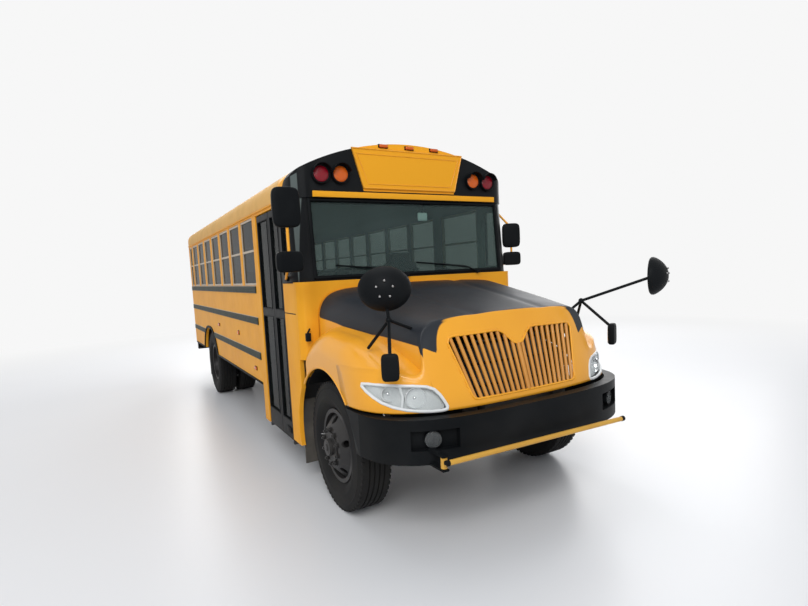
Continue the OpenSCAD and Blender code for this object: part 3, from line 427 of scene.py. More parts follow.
@dataclass(frozen=True)
class Glass:
    """Tinted glass that lets part of the light through.

    Attributes:
        name: Name of the material.
        slot: The record's material slot.
        tint: Colour of what shows through.
        cover: How much of what is behind it the glass hides.
        body: Colour of the glass's own surface.
        ior: Refractive index, which sets how strongly it mirrors.
    """

    name: str
    slot: str
    tint: Colour
    cover: float
    body: Colour = (0.02, 0.025, 0.025)
    ior: float = 1.52

    def material(self) -> bpy.types.Material:
        """Returns the glass's material, made on first use."""
        if self.name in bpy.data.materials:
            return bpy.data.materials[self.name]
        tree = Tree(self.name)
        place = tree.place()
        film = tree.noise(place, 1.6, 5.0)
        clear = tree.node("ShaderNodeBsdfTransparent", {"Color": rgb(self.tint)})
        gloss = tree.principled({
            "Base Color": tree.mix(film, rgb(self.body), rgb([c * 1.6 for c in self.body])),
            "Roughness": film * 0.05 + 0.02, "IOR": self.ior})
        share = film * 0.12 + (self.cover - 0.06)
        return tree.close(tree.node("ShaderNodeMixShader", {0: share, 1: clear, 2: gloss}))


@dataclass(frozen=True)
class Lens(Finish):
    """Lamp lens with fine vertical flutes.

    Attributes:
        pitch: Spacing of the flutes.
    """

    pitch: float = 0.008

    def height_of(self, tree: Tree, place: Sock) -> Sock:
        """Returns the flutes' height."""
        x, _, z = tree.axes(place)
        return x.waves(self.pitch) + z.waves(self.pitch)


YELLOW = (0.84, 0.375, 0.022)
DEEP_YELLOW = (0.78, 0.33, 0.018)
BODY = PanelPaint("body_yellow", "bus_yellow", YELLOW, DEEP_YELLOW, (0.40, 0.52),
                  depth=0.0006, dust=0.06, gloss=0.12, shaded_lining=True)
NOSE = Finish("nose_yellow", "bus_yellow", YELLOW, DEEP_YELLOW, (0.30, 0.40), coat=0.1,
              depth=0.0002, dust=0.06, gloss=0.3)
BARS = Finish("bar_yellow", "bus_yellow", (0.60, 0.265, 0.045), (0.52, 0.22, 0.035), (0.3, 0.4),
              depth=0.0002, dust=0.1, gloss=0.4)
ROOF = RoofPaint("roof_yellow", "roof_paint", (0.74, 0.43, 0.13), (0.66, 0.38, 0.11),
                 (0.52, 0.66), depth=0.0012, gloss=0.15, shaded_lining=True)
CAP = CapPaint("cap_paint", "black_paint", YELLOW, DEEP_YELLOW, (0.32, 0.44), gloss=0.08,
               shaded_lining=True)
HOOD = HoodPaint("hood_paint", "bus_yellow", YELLOW, DEEP_YELLOW, depth=0.0002)
BLACK = Finish("black_satin", "black_paint", (0.004, 0.005, 0.006), (0.008, 0.009, 0.010),
               (0.34, 0.48), depth=0.0002, dust=0.04, gloss=0.06)
PLASTIC = Finish("grained_plastic", "black_plastic", (0.004, 0.005, 0.006), (0.008, 0.009, 0.010),
                 (0.42, 0.58), grain=420.0, depth=0.0003, dust=0.04, gloss=0.06)
RAIL = Finish("rail_green", "black_plastic", (0.010, 0.017, 0.009), (0.018, 0.027, 0.015),
              (0.45, 0.6), depth=0.0003, dust=0.1, gloss=0.3)
CHASSIS = Finish("chassis_paint", "chassis_black", (0.02, 0.02, 0.02), (0.05, 0.045, 0.04),
                 (0.6, 0.85), dust=0.5)
IRON = Finish("cast_iron", "engine_iron", (0.10, 0.10, 0.10), (0.06, 0.06, 0.06), (0.6, 0.8),
              metallic=0.5, grain=90.0, depth=0.002)
EXHAUST = Finish("dull_steel", "exhaust_steel", (0.34, 0.31, 0.28), (0.22, 0.17, 0.13),
                 (0.45, 0.7), metallic=0.8)
FLOOR = Finish("floor_mat", "floor_rubber", (0.03, 0.03, 0.032), (0.045, 0.045, 0.047),
               (0.6, 0.8), grain=60.0, depth=0.002)
SASH = Finish("sash_alloy", "sash_metal", (0.48, 0.40, 0.30), (0.40, 0.34, 0.27), (0.35, 0.5),
              metallic=0.35)
VINYL = Finish("bench_vinyl", "seat_vinyl", (0.045, 0.05, 0.055), (0.06, 0.065, 0.07),
               (0.45, 0.6), grain=260.0, depth=0.0015)
FABRIC = Finish("driver_cloth", "driver_fabric", (0.05, 0.052, 0.058), (0.075, 0.078, 0.085),
                (0.8, 0.95), grain=600.0, depth=0.002)
MUD = Finish("flap_rubber", "mud_rubber", (0.015, 0.015, 0.015), (0.04, 0.037, 0.033),
             (0.7, 0.9), dust=0.4)
WHEEL = Finish("rim_enamel", "wheel_paint", (0.011, 0.011, 0.012), (0.024, 0.023, 0.023),
               (0.35, 0.55), dust=0.08, gloss=0.3)
TYRE = Finish("worn_tyre", "tyre_rubber", (0.008, 0.008, 0.009), (0.014, 0.014, 0.013),
              (0.65, 0.85), grain=140.0, depth=0.0006, dust=0.03, gloss=0.15)
ARM = Finish("arm_enamel", "arm_yellow", (0.62, 0.34, 0.05), (0.54, 0.28, 0.04), (0.35, 0.45),
             gloss=0.3)
PALE = Finish("pale_plastic", "lamp_clear", (0.74, 0.75, 0.74), (0.66, 0.67, 0.66), (0.25, 0.38),
              depth=0.0001)
STOP = Finish("stop_enamel", "stop_red", (0.42, 0.012, 0.018), (0.36, 0.01, 0.016), (0.3, 0.4),
              coat=0.3)
STEEL = Finish("bright_steel", "exhaust_steel", (0.32, 0.32, 0.33), (0.22, 0.21, 0.2),
               (0.3, 0.5), metallic=0.9)
CHROME = Finish("lamp_reflector", "lamp_clear", (0.82, 0.83, 0.84), (0.72, 0.73, 0.75),
                (0.08, 0.18), metallic=0.95, depth=0.0001)
RED = Lens("red_lens", "lamp_red", (0.24, 0.003, 0.012), (0.19, 0.002, 0.010), (0.12, 0.2),
           coat=0.1, depth=0.0012, gloss=0.3)
AMBER = Lens("amber_lens", "lamp_red", (0.66, 0.115, 0.006), (0.56, 0.090, 0.005), (0.12, 0.2),
             coat=0.1, depth=0.0012, gloss=0.3)
MIRROR = Finish("mirror_glass", "black_plastic", (0.75, 0.77, 0.78), (0.68, 0.70, 0.71),
                (0.02, 0.06), metallic=1.0, depth=0.00005)
SHIELD_GLASS = Glass("laminated_glass", "windshield_glass", (0.78, 0.88, 0.85), 0.18,
                     (0.090, 0.120, 0.116), 1.4)
SIDE_GLASS = Glass("tinted_glass", "side_glass", (0.50, 0.52, 0.51), 0.42, (0.012, 0.015, 0.015),
                   1.25)
STOP_EDGE = Finish("stop_rim_paint", "stop_red", (0.80, 0.80, 0.78), (0.72, 0.71, 0.69),
                   (0.3, 0.42))
LAMP_GLASS = Glass("lamp_glass", "lamp_clear", (0.97, 0.98, 0.98), 0.10, (0.30, 0.31, 0.31))


# ---------------------------------------------------------------- pieces
def placed(middle: Vector, turn: Matrix | None) -> Matrix:
    """Returns the move that turns a form and then sets it at a point."""
    return Matrix.Translation(middle) @ (Matrix.Identity(4) if turn is None else turn.to_4x4())


class Piece:
    """Closed forms collected in one mesh, which becomes an object on a body."""

    def __init__(self, name: str, finish: Finish | Glass, body: str = "bus") -> None:
        self.name = name
        self.finish = finish
        self.body = body
        self.mesh = bmesh.new()

    def add(self, form: bmesh.types.BMesh, bevel: float = 0.0, segments: int = 2,
            move: Matrix | None = None) -> "Piece":
        """Finishes one form and joins it to the piece.

        Args:
            form: The form's own mesh, which is used up.
            bevel: Width of the rounding on its sharp edges.
            segments: Segments of the rounding.
            move: Where the form goes.

        Returns:
            The piece itself.
        """
        if bevel > 0:
            edges = [e for e in form.edges
                     if len(e.link_faces) == 2 and e.calc_face_angle(0.0) > 0.6]
            bmesh.ops.bevel(form, geom=edges, offset=bevel, segments=segments, profile=0.5,
                            affect="EDGES", material=-1, clamp_overlap=True)
        if move is not None:
            bmesh.ops.transform(form, matrix=move, verts=form.verts)
        data = bpy.data.meshes.new("form")
        form.to_mesh(data)
        form.free()
        self.mesh.from_mesh(data)
        bpy.data.meshes.remove(data)
        return self

    def box(self, low: Vector, high: Vector, bevel: float = 0.0, segments: int = 2,
            turn: Matrix | None = None) -> "Piece":
        """Adds a box.

        Args:
            low: Lowest corner.
            high: Highest corner.
            bevel: Width of the rounded edges.
            segments: Segments of the rounding.
            turn: Turn about the box's own middle.
        """
        form = bmesh.new()
        bmesh.ops.create_cube(form, size=1.0, matrix=Matrix.Diagonal((*(high - low), 1.0)))
        return self.add(form, bevel, segments, placed((low + high) / 2, turn))

    def rod(self, start: Vector, end: Vector, radius: float, sides: int = 24,
            bevel: float = 0.0) -> "Piece":
        """Adds a round bar.

        Args:
            start: Middle of one end.
            end: Middle of the other end.
            radius: Radius of the bar.
            sides: Flats round the bar.
            bevel: Width of the rounding on its ends.
        """
        form, along = bmesh.new(), end - start
        bmesh.ops.create_cone(form, cap_ends=True, cap_tris=False, segments=sides,
                              radius1=radius, radius2=radius, depth=along.length)
        turn = along.to_track_quat("Z", "Y").to_matrix()
        return self.add(form, bevel, 2, placed((start + end) / 2, turn))

    def tube(self, points: Sequence[Vector], radius: float, sides: int = 12) -> "Piece":
        """Adds a bent tube through points, with round joints."""
        for start, end in zip(points, points[1:]):
            self.rod(start, end, radius, sides=sides)
        for point in points:
            self.ball(point, radius, sides)
        return self

    def loop(self, points: Sequence[Vector], radius: float, sides: int = 12) -> "Piece":
        """Adds a tube through points and back to the first."""
        return self.tube([*points, points[0]], radius, sides)

    def ball(self, centre: Vector, radius: float, sides: int) -> "Piece":
        """Adds a ball."""
        form = bmesh.new()
        bmesh.ops.create_uvsphere(form, u_segments=sides, v_segments=max(6, sides // 2),
                                  radius=radius)
        return self.add(form, move=Matrix.Translation(centre))

    def lathe(self, profile: Sequence[tuple[float, float]], origin: Vector,
              axis: Vector, steps: int = 48, squash: float = 1.0) -> "Piece":
        """Spins a profile of radius and height about an axis.

        Args:
            profile: Points of radius and height; a closed loop, or one that starts and ends on
                the axis.
            origin: Where height 0 lies on the axis.
            axis: Direction of growing height.
            steps: Number of steps round the axis.
            squash: Share of its height that the turned form keeps.
        """
        form = bmesh.new()
        points = [form.verts.new((r, 0.0, h)) for r, h in profile]
        pairs = list(zip(points, points[1:]))
        if profile[0][0] > 1e-6:
            pairs.append((points[-1], points[0]))
        edges = [form.edges.new(pair) for pair in pairs]
        bmesh.ops.spin(form, geom=points + edges, cent=(0, 0, 0), axis=(0, 0, 1),
                       angle=math.tau, steps=steps, use_merge=True, use_duplicate=False)
        bmesh.ops.remove_doubles(form, verts=form.verts, dist=1e-6)
        turn = placed(Vector(), axis.to_track_quat("Z", "Y").to_matrix())
        flat = Matrix.Diagonal((1.0, 1.0, squash, 1.0))
        return self.add(form, move=Matrix.Translation(origin) @ flat @ turn)

    def prism(self, outline: Sequence[tuple[float, float]], start: float, end: float,
              axis: Axis, bevel: float = 0.0, segments: int = 2) -> "Piece":
        """Draws an outline out along one axis.

        Args:
            outline: Corners in the plane: (y, z) for X and (x, z) for Y.
            start: Where it starts along the axis.
            end: Where it ends.
            axis: The axis.
            bevel: Width of the rounded edges.
            segments: Segments of the rounding.
        """
        form = bmesh.new()
        place: dict[Axis, Callable[[float, float], Vector]] = {
            Axis.X: lambda a, b: at(start, a, b),
            Axis.Y: lambda a, b: at(a, start, b)}
        unit = {Axis.X: ALONG_X, Axis.Y: ALONG_Y}
        face = form.faces.new([form.verts.new(place[axis](a, b)) for a, b in outline])
        made = bmesh.ops.extrude_face_region(form, geom=[face], use_keep_orig=True)
        moved = [v for v in made["geom"] if isinstance(v, bmesh.types.BMVert)]
        bmesh.ops.translate(form, verts=moved, vec=unit[axis] * (end - start))
        return self.add(form, bevel, segments)

    def pad(self, low: Vector, high: Vector, fullness: float,
            turn: Matrix | None = None) -> "Piece":
        """Adds a crowned form with soft edges that fills a box.

        Args:
            low: Lowest corner.
            high: Highest corner.
            fullness: How square the form is; a higher number is squarer.
            turn: Turn about the form's own middle.
        """
        form = bmesh.new()
        bmesh.ops.create_cube(form, size=2.0)
        bmesh.ops.subdivide_edges(form, edges=form.edges, cuts=9, use_grid_fill=True)
        half = (high - low) / 2
        for vert in form.verts:
            u = Vector([math.copysign(math.sin(abs(c) * math.pi / 2), c) for c in vert.co])
            size = sum(abs(c) ** fullness for c in u) ** (1 / fullness)
            vert.co = Vector([c / size * h for c, h in zip(u, half)])
        return self.add(form, move=placed((low + high) / 2, turn))

    def both(self) -> "Piece":
        """Adds a mirror image of everything so far on the other side."""
        geometry = self.mesh.verts[:] + self.mesh.edges[:] + self.mesh.faces[:]
        made = bmesh.ops.duplicate(self.mesh, geom=geometry)["geom"]
        verts = [v for v in made if isinstance(v, bmesh.types.BMVert)]
        bmesh.ops.scale(self.mesh, vec=(-1, 1, 1), verts=verts)
        bmesh.ops.reverse_faces(self.mesh,
                                faces=[f for f in made if isinstance(f, bmesh.types.BMFace)])
        return self

    def done(self, smooth: float = 35.0, replaces: Sequence[str] = (),
             outward: bool = True) -> bpy.types.Object:
        """Makes the object, gives it its finish and sets it on its body.

        Args:
            smooth: Largest angle in degrees across which shading stays smooth.
            replaces: CAD nodes it stands for.
            outward: Whether the faces are turned outward first.
        """
        if outward:
            bmesh.ops.recalc_face_normals(self.mesh, faces=self.mesh.faces)
        data = bpy.data.meshes.new(self.name)
        self.mesh.to_mesh(data)
        self.mesh.free()
        data.shade_smooth()
        data.set_sharp_from_angle(angle=math.radians(smooth))
        thing = bpy.data.objects.new(self.name, data)
        bpy.context.scene.collection.objects.link(thing)
        data.materials.append(self.finish.material())
        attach(thing, self.body)
        if replaces:
            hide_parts(*replaces)
        return thing


def rounded(thing: bpy.types.Object, width: float, segments: int = 3,
            angle: float = 40.0) -> bpy.types.Object:
    """Rounds an object's sharp edges with a modifier.

    Args:
        thing: The object.
        width: Width of the rounding.
        segments: Segments of the rounding.
        angle: Smallest angle in degrees that is rounded.

    Returns:
        The object itself.
    """
    bevel = thing.modifiers.new("rounding", "BEVEL")
    bevel.width = width
    bevel.segments = segments
    bevel.limit_method = "ANGLE"
    bevel.angle_limit = math.radians(angle)
    bevel.harden_normals = True
    return thing


def settle(thing: bpy.types.Object, modifier: bpy.types.Modifier) -> None:
    """Applies a modifier to its object."""
    bpy.context.view_layer.objects.active = thing
    with bpy.context.temp_override(object=thing, active_object=thing):
        bpy.ops.object.modifier_apply(modifier=modifier.name)


def cut(thing: bpy.types.Object, cutter: bpy.types.Object) -> None:
    """Cuts one object by another, and removes the cutter."""
    tool = thing.modifiers.new("opening", "BOOLEAN")
    tool.operation = "DIFFERENCE"
    tool.solver = "MANIFOLD"
    tool.object = cutter
    settle(thing, tool)
    bpy.data.objects.remove(cutter)
    while len(thing.data.materials) > 1:
        thing.data.materials.pop()


class Frame:
    """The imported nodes, and smooth-shaded skins over them."""

    def __init__(self, loaded: dict) -> None:
        self.nodes = loaded["nodes"]
        bodies = loaded["record"]["behaviour"]["bodies"]
        self.body_of = {node: body for body, members in bodies.items() for node in members}

    def paint(self, finish: Finish | Glass, *names: str) -> None:
        """Gives CAD nodes a finish as they are."""
        for name in names:
            data = self.nodes[name].data
            data.materials.clear()
            data.materials.append(finish.material())

    def skin(self, name: str, finish: Finish | Glass, width: float = 0.003,
             segments: int = 2, angle: float = 40.0) -> bpy.types.Object:
        """Stands a smooth-shaded skin with rounded edges for a CAD node.

        Args:
            name: The node.
            finish: Finish of the skin.
            width: Width of the rounding, or 0 for none.
            segments: Segments of the rounding.
            angle: Smallest angle in degrees that is rounded.

        Returns:
            The skin.
        """
        piece = Piece(f"{name}_skin", finish, self.body_of[name])
        piece.mesh.from_mesh(self.nodes[name].data)
        for layer in list(piece.mesh.loops.layers.uv):
            piece.mesh.loops.layers.uv.remove(layer)
        bmesh.ops.remove_doubles(piece.mesh, verts=piece.mesh.verts, dist=2e-5)
        bmesh.ops.dissolve_limit(piece.mesh, angle_limit=math.radians(0.3),
                                 verts=piece.mesh.verts, edges=piece.mesh.edges)
        for face in piece.mesh.faces:
            face.material_index = 0
        thing = piece.done(smooth=angle, replaces=[name], outward=False)
        return rounded(thing, width, segments, angle) if width > 0 else thing


# ---------------------------------------------------------------- hood
@dataclass(frozen=True)
class HoodShape:
    """Surface of the hood, from the cowl forward and down the nose.

    Attributes:
        back: Rear edge behind the front axle.
        reach: Forward reach of the lower edge.
        low: Height of the lower edge.
        nose_z: Height of the crown at the nose.
        cowl_z: Height of the crown at the cowl.
        nose_half: Half-width of the nose panel.
        side: Half-width over the fenders.
        lean: Backward lean of the nose.
        shoulder: Share of the grid that lies inside the shoulder lines.
        top: Share of the grid that lies on the top.
        sweep: How far the nose's corners lie behind its middle.
        edge: Radius of the rounding between the fender's top and its side.
    """

    back: float = 0.445
    reach: float = 1.100
    low: float = 0.972
    nose_z: float = 1.585
    cowl_z: float = 1.836
    nose_half: float = 0.720
    side: float = 1.205
    lean: float = math.radians(17.3)
    shoulder: float = 0.56
    top: float = 2 / 3
    sweep: float = 0.750
    edge: float = 0.190

    def along(self, y: float) -> float:
        """Returns 0 at the nose and 1 at the cowl."""
        return clamp((y + 1.0) / (self.back + 1.0), 0.0, 1.05)

    def shoulder_x(self, y: float) -> float:
        """Returns the half-width at the shoulder line."""
        return self.nose_half + 0.065 + 0.275 * self.along(y)

    def line_z(self, y: float) -> float:
        """Returns the height of the shoulder line."""
        return 1.385 + 0.168 * self.along(y)

    def inner_z(self, f: float, y: float) -> float:
        """Returns the height inside the shoulder, at a fraction of the half-width."""
        line = self.line_z(y)
        crown = self.nose_z + (self.cowl_z - self.nose_z) * self.along(y) ** 0.9
        crease = 0.010 * math.exp(-((f - 0.40) / 0.05) ** 2)
        return line + (crown - line - 0.040 * f * f) * math.sqrt(max(0.0, 1 - f ** 12)) - crease

    def outer_z(self, x: float, g: float, y: float) -> float:
        """Returns the height over the fender, at a fraction from shoulder to side."""
        z = self.line_z(y) - 0.020
        z -= 0.190 * (y / 0.445) ** 2 if y > 0 else 0.0
        z -= 0.150 * ((-0.300 - y) / 0.550) ** 1.5 if y < -0.300 else 0.0
        u = max(0.0, (x - self.side + self.edge) / self.edge)
        drop = self.edge * (1 - math.sqrt(max(0.0, 1 - u * u)))
        return z + 0.020 * max(0.0, 1 - g * 4) - drop

    def face_y(self, x: float, z: float) -> float:
        """Returns where the nose's surface lies along the bus."""
        t = min(abs(x) / (self.side + 1e-5), 1.0)
        front = -(self.reach - self.sweep) - self.sweep * (1 - t ** 3) ** (1 / 3)
        return front + (z - self.low) * math.tan(self.lean)

    def top_point(self, u: float, y: float) -> tuple[float, float]:
        """Returns x and z on the top for a share u of the half-width."""
        if u <= self.shoulder:
            f = 1 - max(0.0, 1 - u / self.shoulder) ** 1.8
            return f * self.shoulder_x(y), self.inner_z(f, y)
        g = 1 - max(0.0, (1 - u) / (1 - self.shoulder)) ** 1.6
        s = self.shoulder_x(y)
        x = s + (self.side - s) * g
        return x, self.outer_z(x, g, y)

    def wall_point(self, side: float, drop: float, v: float) -> Vector:
        """Returns a point of the fender's side, a share down from its edge."""
        share = 1 - max(0.0, 1 - v / self.top) ** 1.5
        z1 = self.top_point(1.0, self.face_y(self.side, 1.350))[1]
        y1 = self.face_y(self.side, z1)
        y = self.back + (y1 - self.back) * share
        z = self.top_point(1.0, y)[1]
        front = self.face_y(self.side, z1 + (self.low - z1) * drop)
        return at(side * self.side, y + (front - y1) * share, z + (self.low - z) * drop)

    def point(self, u: float, v: float, wall: float) -> Vector:
        """Returns the surface's point on the grid.

        Args:
            u: Share across, from -1 to 1 over the top and on down the sides.
            v: Share from the cowl over the top and down the nose, from 0 to 1.
            wall: How far u goes on past 1 down a side.
        """
        side = -1.0 if u < 0 else 1.0
        a = abs(u)
        if a > 1.0 + 1e-6:
            return self.wall_point(side, min((a - 1) / wall, 1.0), min(v, self.top))
        a = min(a, 1.0)
        x1 = self.top_point(a, -0.950)[0]
        z1 = self.top_point(a, self.face_y(x1, 1.350))[1]
        y1 = self.face_y(x1, z1)
        if v <= self.top + 1e-6:
            share = 1 - max(0.0, 1 - v / self.top) ** 1.5
            y = self.back + (y1 - self.back) * share
            x, z = self.top_point(a, y)
            return at(side * x, y, z)
        w = (v - self.top) / (1 - self.top)
        x, z = self.top_point(a, y1)
        taper = (a / self.shoulder if a <= self.shoulder
                 else 1 - (a - self.shoulder) / (1 - self.shoulder))
        x -= w * min(taper, 1.0) * 0.045
        z = z * (1 - w) + self.low * w
        return at(side * x, self.face_y(x, z), z)


# Outline of the driver side's headlamp, as x and height.
HEADLAMP = ((0.815, 1.140), (0.900, 1.151), (0.990, 1.157), (1.075, 1.163), (1.135, 1.166),
            (1.160, 1.163), (1.163, 1.146), (1.150, 1.112), (1.125, 1.075), (1.090, 1.040),
            (1.035, 1.011), (0.965, 0.992), (0.890, 0.981), (0.815, 0.976), (0.745, 0.975),
            (0.706, 0.980), (0.700, 0.998), (0.712, 1.030), (0.735, 1.078), (0.768, 1.118))
# Half of the grille's opening, as x and height up the leaning nose.
GRILLE = ((0.0, 0.400), (0.045, 0.415), (0.115, 0.490), (0.155, 0.515), (0.200, 0.519),
          (0.560, 0.512), (0.595, 0.500), (0.609, 0.465), (0.505, 0.075), (0.490, 0.055),
          (0.460, 0.047))


@dataclass(frozen=True)
class Hood:
    """The tilting hood with its grille opening, lamps and dark top.

    Attributes:
        shape: The hood's surface.
        across: Grid steps across the top.
        down: Grid steps from the cowl to the lower edge.
        walls: Grid steps down each side, as many as down the nose.
        thickness: Thickness of the shell.
        arch_y: Middle of the wheel opening.
        arch_r: Radius of the wheel opening.
        bars: Number of grille bars on each side of the middle one.
    """

    shape: HoodShape = HoodShape()
    across: int = 132
    down: int = 96
    walls: int = 32
    thickness: float = 0.012
    arch_y: float = 0.050
    arch_r: float = 0.650
    bars: int = 10

    def opening(self) -> Outline:
        """Returns the whole outline of the grille's opening."""
        return [*GRILLE, *((-x, up) for x, up in reversed(GRILLE[1:]))]

    def topcoat(self, u: float, v: float, place: Vector) -> float:
        """Returns how far inside the dark top a grid point lies.

        Args:
            u: Share across, from -1 to 1.
            v: Share from the cowl to the lower edge; not used.
            place: The point in the bus's frame.
        """
        x, y = abs(place.x), place.y - AXLE_Y
        side = (self.shape.shoulder - abs(u)) * 0.8 + 0.004
        over = place.z - self.shape.line_z(y) + 0.004 + 0.45 * max(0.0, 0.780 - x)
        lip = -1.022 + 0.03 * (clamp(x / 0.72, 0.0, 1.0)) ** 2
        corner = (max(0.0, x - 0.580) / 0.128) ** 3 + (max(0.0, y - lip) / 0.120) ** 3
        return min(side, over, (corner - 1.0) * 0.04, self.shape.back - 0.018 - y)

    def shell(self) -> bpy.types.Object:
        """Builds the smooth shell, with a measure on it of where the dark top lies."""
        piece = Piece("hood_shell", HOOD, "hood")
        coat = piece.mesh.verts.layers.float.new("topcoat")
        steps = self.across + 2 * self.walls
        bmesh.ops.create_grid(piece.mesh, x_segments=steps, y_segments=self.down, size=1.0)
        wide, reach = steps / self.across, 2 * self.walls / self.across
        corners = [f for f in piece.mesh.faces if abs(f.calc_center_median().x) * wide > 1
                   and (1 - f.calc_center_median().y) / 2 > self.shape.top]
        bmesh.ops.delete(piece.mesh, geom=corners, context="FACES")
        crest = []
        for vert in piece.mesh.verts:
            u, v = vert.co.x * wide, (1 - vert.co.y) / 2
            vert.co = self.shape.point(u, v, reach)
            vert[coat] = self.topcoat(u, v, vert.co)
            if abs(u) < 1.0 and 0.02 < v < 0.97 and abs(v - self.shape.top) < 0.045:
                crest.append(vert)
        bmesh.ops.remove_doubles(piece.mesh, verts=piece.mesh.verts, dist=2e-4)
        crest = [vert for vert in crest if vert.is_valid]
        for _ in range(9):
            bmesh.ops.smooth_vert(piece.mesh, verts=crest, factor=0.5, use_axis_x=True,
                                  use_axis_y=True, use_axis_z=True)
        bmesh.ops.recalc_face_normals(piece.mesh, faces=piece.mesh.faces)
        above_axle = at(0, 0, 1.8)
        middle = min(piece.mesh.faces,
                     key=lambda f: (f.calc_center_median() - above_axle).length)
        if middle.normal.z < 0:
            bmesh.ops.reverse_faces(piece.mesh, faces=piece.mesh.faces)
        shell = piece.done(smooth=50.0, replaces=["hood"], outward=False)
        wall = shell.modifiers.new("wall", "SOLIDIFY")
        wall.thickness = self.thickness
        wall.offset = -1.0
        settle(shell, wall)
        return shell

    def openings(self, shell: bpy.types.Object) -> None:
        """Cuts the wheel openings, the grille's opening and the headlamps' out of the shell."""
        arch, across = at(0, self.arch_y, TYRE_R), ALONG_X * 1.4
        cut(shell, Piece("hood_cutters", HOOD, "hood").rod(
            arch - across, arch + across, self.arch_r, sides=120).done())
        grille = Piece("grille_cutter", HOOD, "hood").prism(self.opening(), -0.2, 0.2, Axis.Y)
        to_axle = Matrix.Translation(-at(0, 0, 0))
        lean = Matrix.Rotation(-self.shape.lean, 4, "X")
        to_nose = Matrix.Translation(at(0, -self.shape.reach, self.shape.low))
        bmesh.ops.transform(grille.mesh, matrix=to_nose @ lean @ to_axle, verts=grille.mesh.verts)
        cut(shell, grille.done())
        cut(shell, Piece("lamp_cutter", HOOD, "hood").prism(
            HEADLAMP, -1.3, -0.5, Axis.Y).both().done())

    def lip(self) -> None:
        """Adds the wheel openings' rolled lips and the liners over the wheels."""
        lip = Piece("fender_lips", NOSE, "hood")
        liner = Piece("fender_liners", PLASTIC, "hood")
        middle, radius = (self.arch_y, TYRE_R), 0.011
        edge = [at(self.skin_x(y, z) - 0.006, y, z)
                for y, z in arc(middle, self.arch_r, 38.0, 142.0, 40)]
        for start, end in zip(edge, edge[1:]):
            if min(start.z, end.z) > self.shape.low:
                lip.rod(start, end, radius, sides=10).ball(end, radius, 10)
        liner.prism(arc(middle, self.arch_r - 0.006, 42.0, 138.0, 36)
                    + arc(middle, self.arch_r, 138.0, 42.0, 36), 0.845, 1.165, Axis.X)
        lip.both().done()
        liner.both().done()

    def skin_x(self, y: float, z: float) -> float:
        """Returns the half-width of the fender's side at a point of the wheel opening."""
        if y >= self.shape.face_y(self.shape.side, z) + 0.02:
            return self.shape.side
        low, high = 0.3, self.shape.side
        for _ in range(30):
            x = (low + high) / 2
            low, high = (x, high) if self.shape.face_y(x, z) < y else (low, x)
        return low

    def on_nose(self, x: float, up: float, depth: float) -> Vector:
        """Returns a point by its height up the leaning nose and its depth behind it."""
        z = self.shape.low + up * math.cos(self.shape.lean)
        return at(x, self.shape.face_y(x, z) + depth, z)

    def grille(self) -> None:
        """Builds the slanted bars, the middle bar, the rails and the dark mesh behind."""
        bars = Piece("grille_bars", BARS, "hood")
        for i in range(self.bars):
            foot, head = 0.042 + i * 0.0485, 0.048 + i * 0.0590
            top = min(0.514, 0.400 + max(0.0, head - 0.030) * 0.98)
            x_top = foot + (head - foot) * (top - 0.05) / 0.46
            ups = spread(5, 0.052, top)
            bars.tube([self.on_nose(foot + (x_top - foot) * (up - 0.05) / (top - 0.05), up, 0.016)
                       for up in ups], 0.0142, 14)
        bars.both()
        bars.rod(self.on_nose(0, 0.050, 0.008), self.on_nose(0, 0.402, 0.008), 0.017, sides=20)
        bars.done(replaces=["grille"])
        rails = Piece("grille_rails", PLASTIC, "hood")
        for up in (0.12, 0.28, 0.43):
            half = 0.455 + (up - 0.05) * 0.284
            rails.tube([self.on_nose(x, up, 0.050) for x in spread(9, -half, half)], 0.010, 10)
        rails.done()
        trim = Piece("grille_surround", NOSE, "hood")
        loop = []
        outline = self.opening()
        for (x0, up0), (x1, up1) in zip(outline, outline[1:] + outline[:1]):
            loop += [self.on_nose(x0 + (x1 - x0) * t, up0 + (up1 - up0) * t, 0.003)
                     for t in (0.0, 0.2, 0.4, 0.6, 0.8)]
        trim.loop(loop, 0.0085).done()
        Piece("radiator_core", CHASSIS).box(
            at(-0.335, -0.899, 0.945), at(0.335, -0.845, 1.395), 0.008).done()
        Piece("splash_panels", PLASTIC).box(
            at(0.440, -0.830, 0.700), at(1.020, -0.815, 0.962), 0.004).both().done()

    @staticmethod
    def headlamp(share: float) -> Outline:
        """Returns the headlamp's outline, shrunk about its middle."""
        x0, z0 = 0.94, 1.075
        return [(x0 + (x - x0) * share, z0 + (z - z0) * share) for x, z in HEADLAMP]

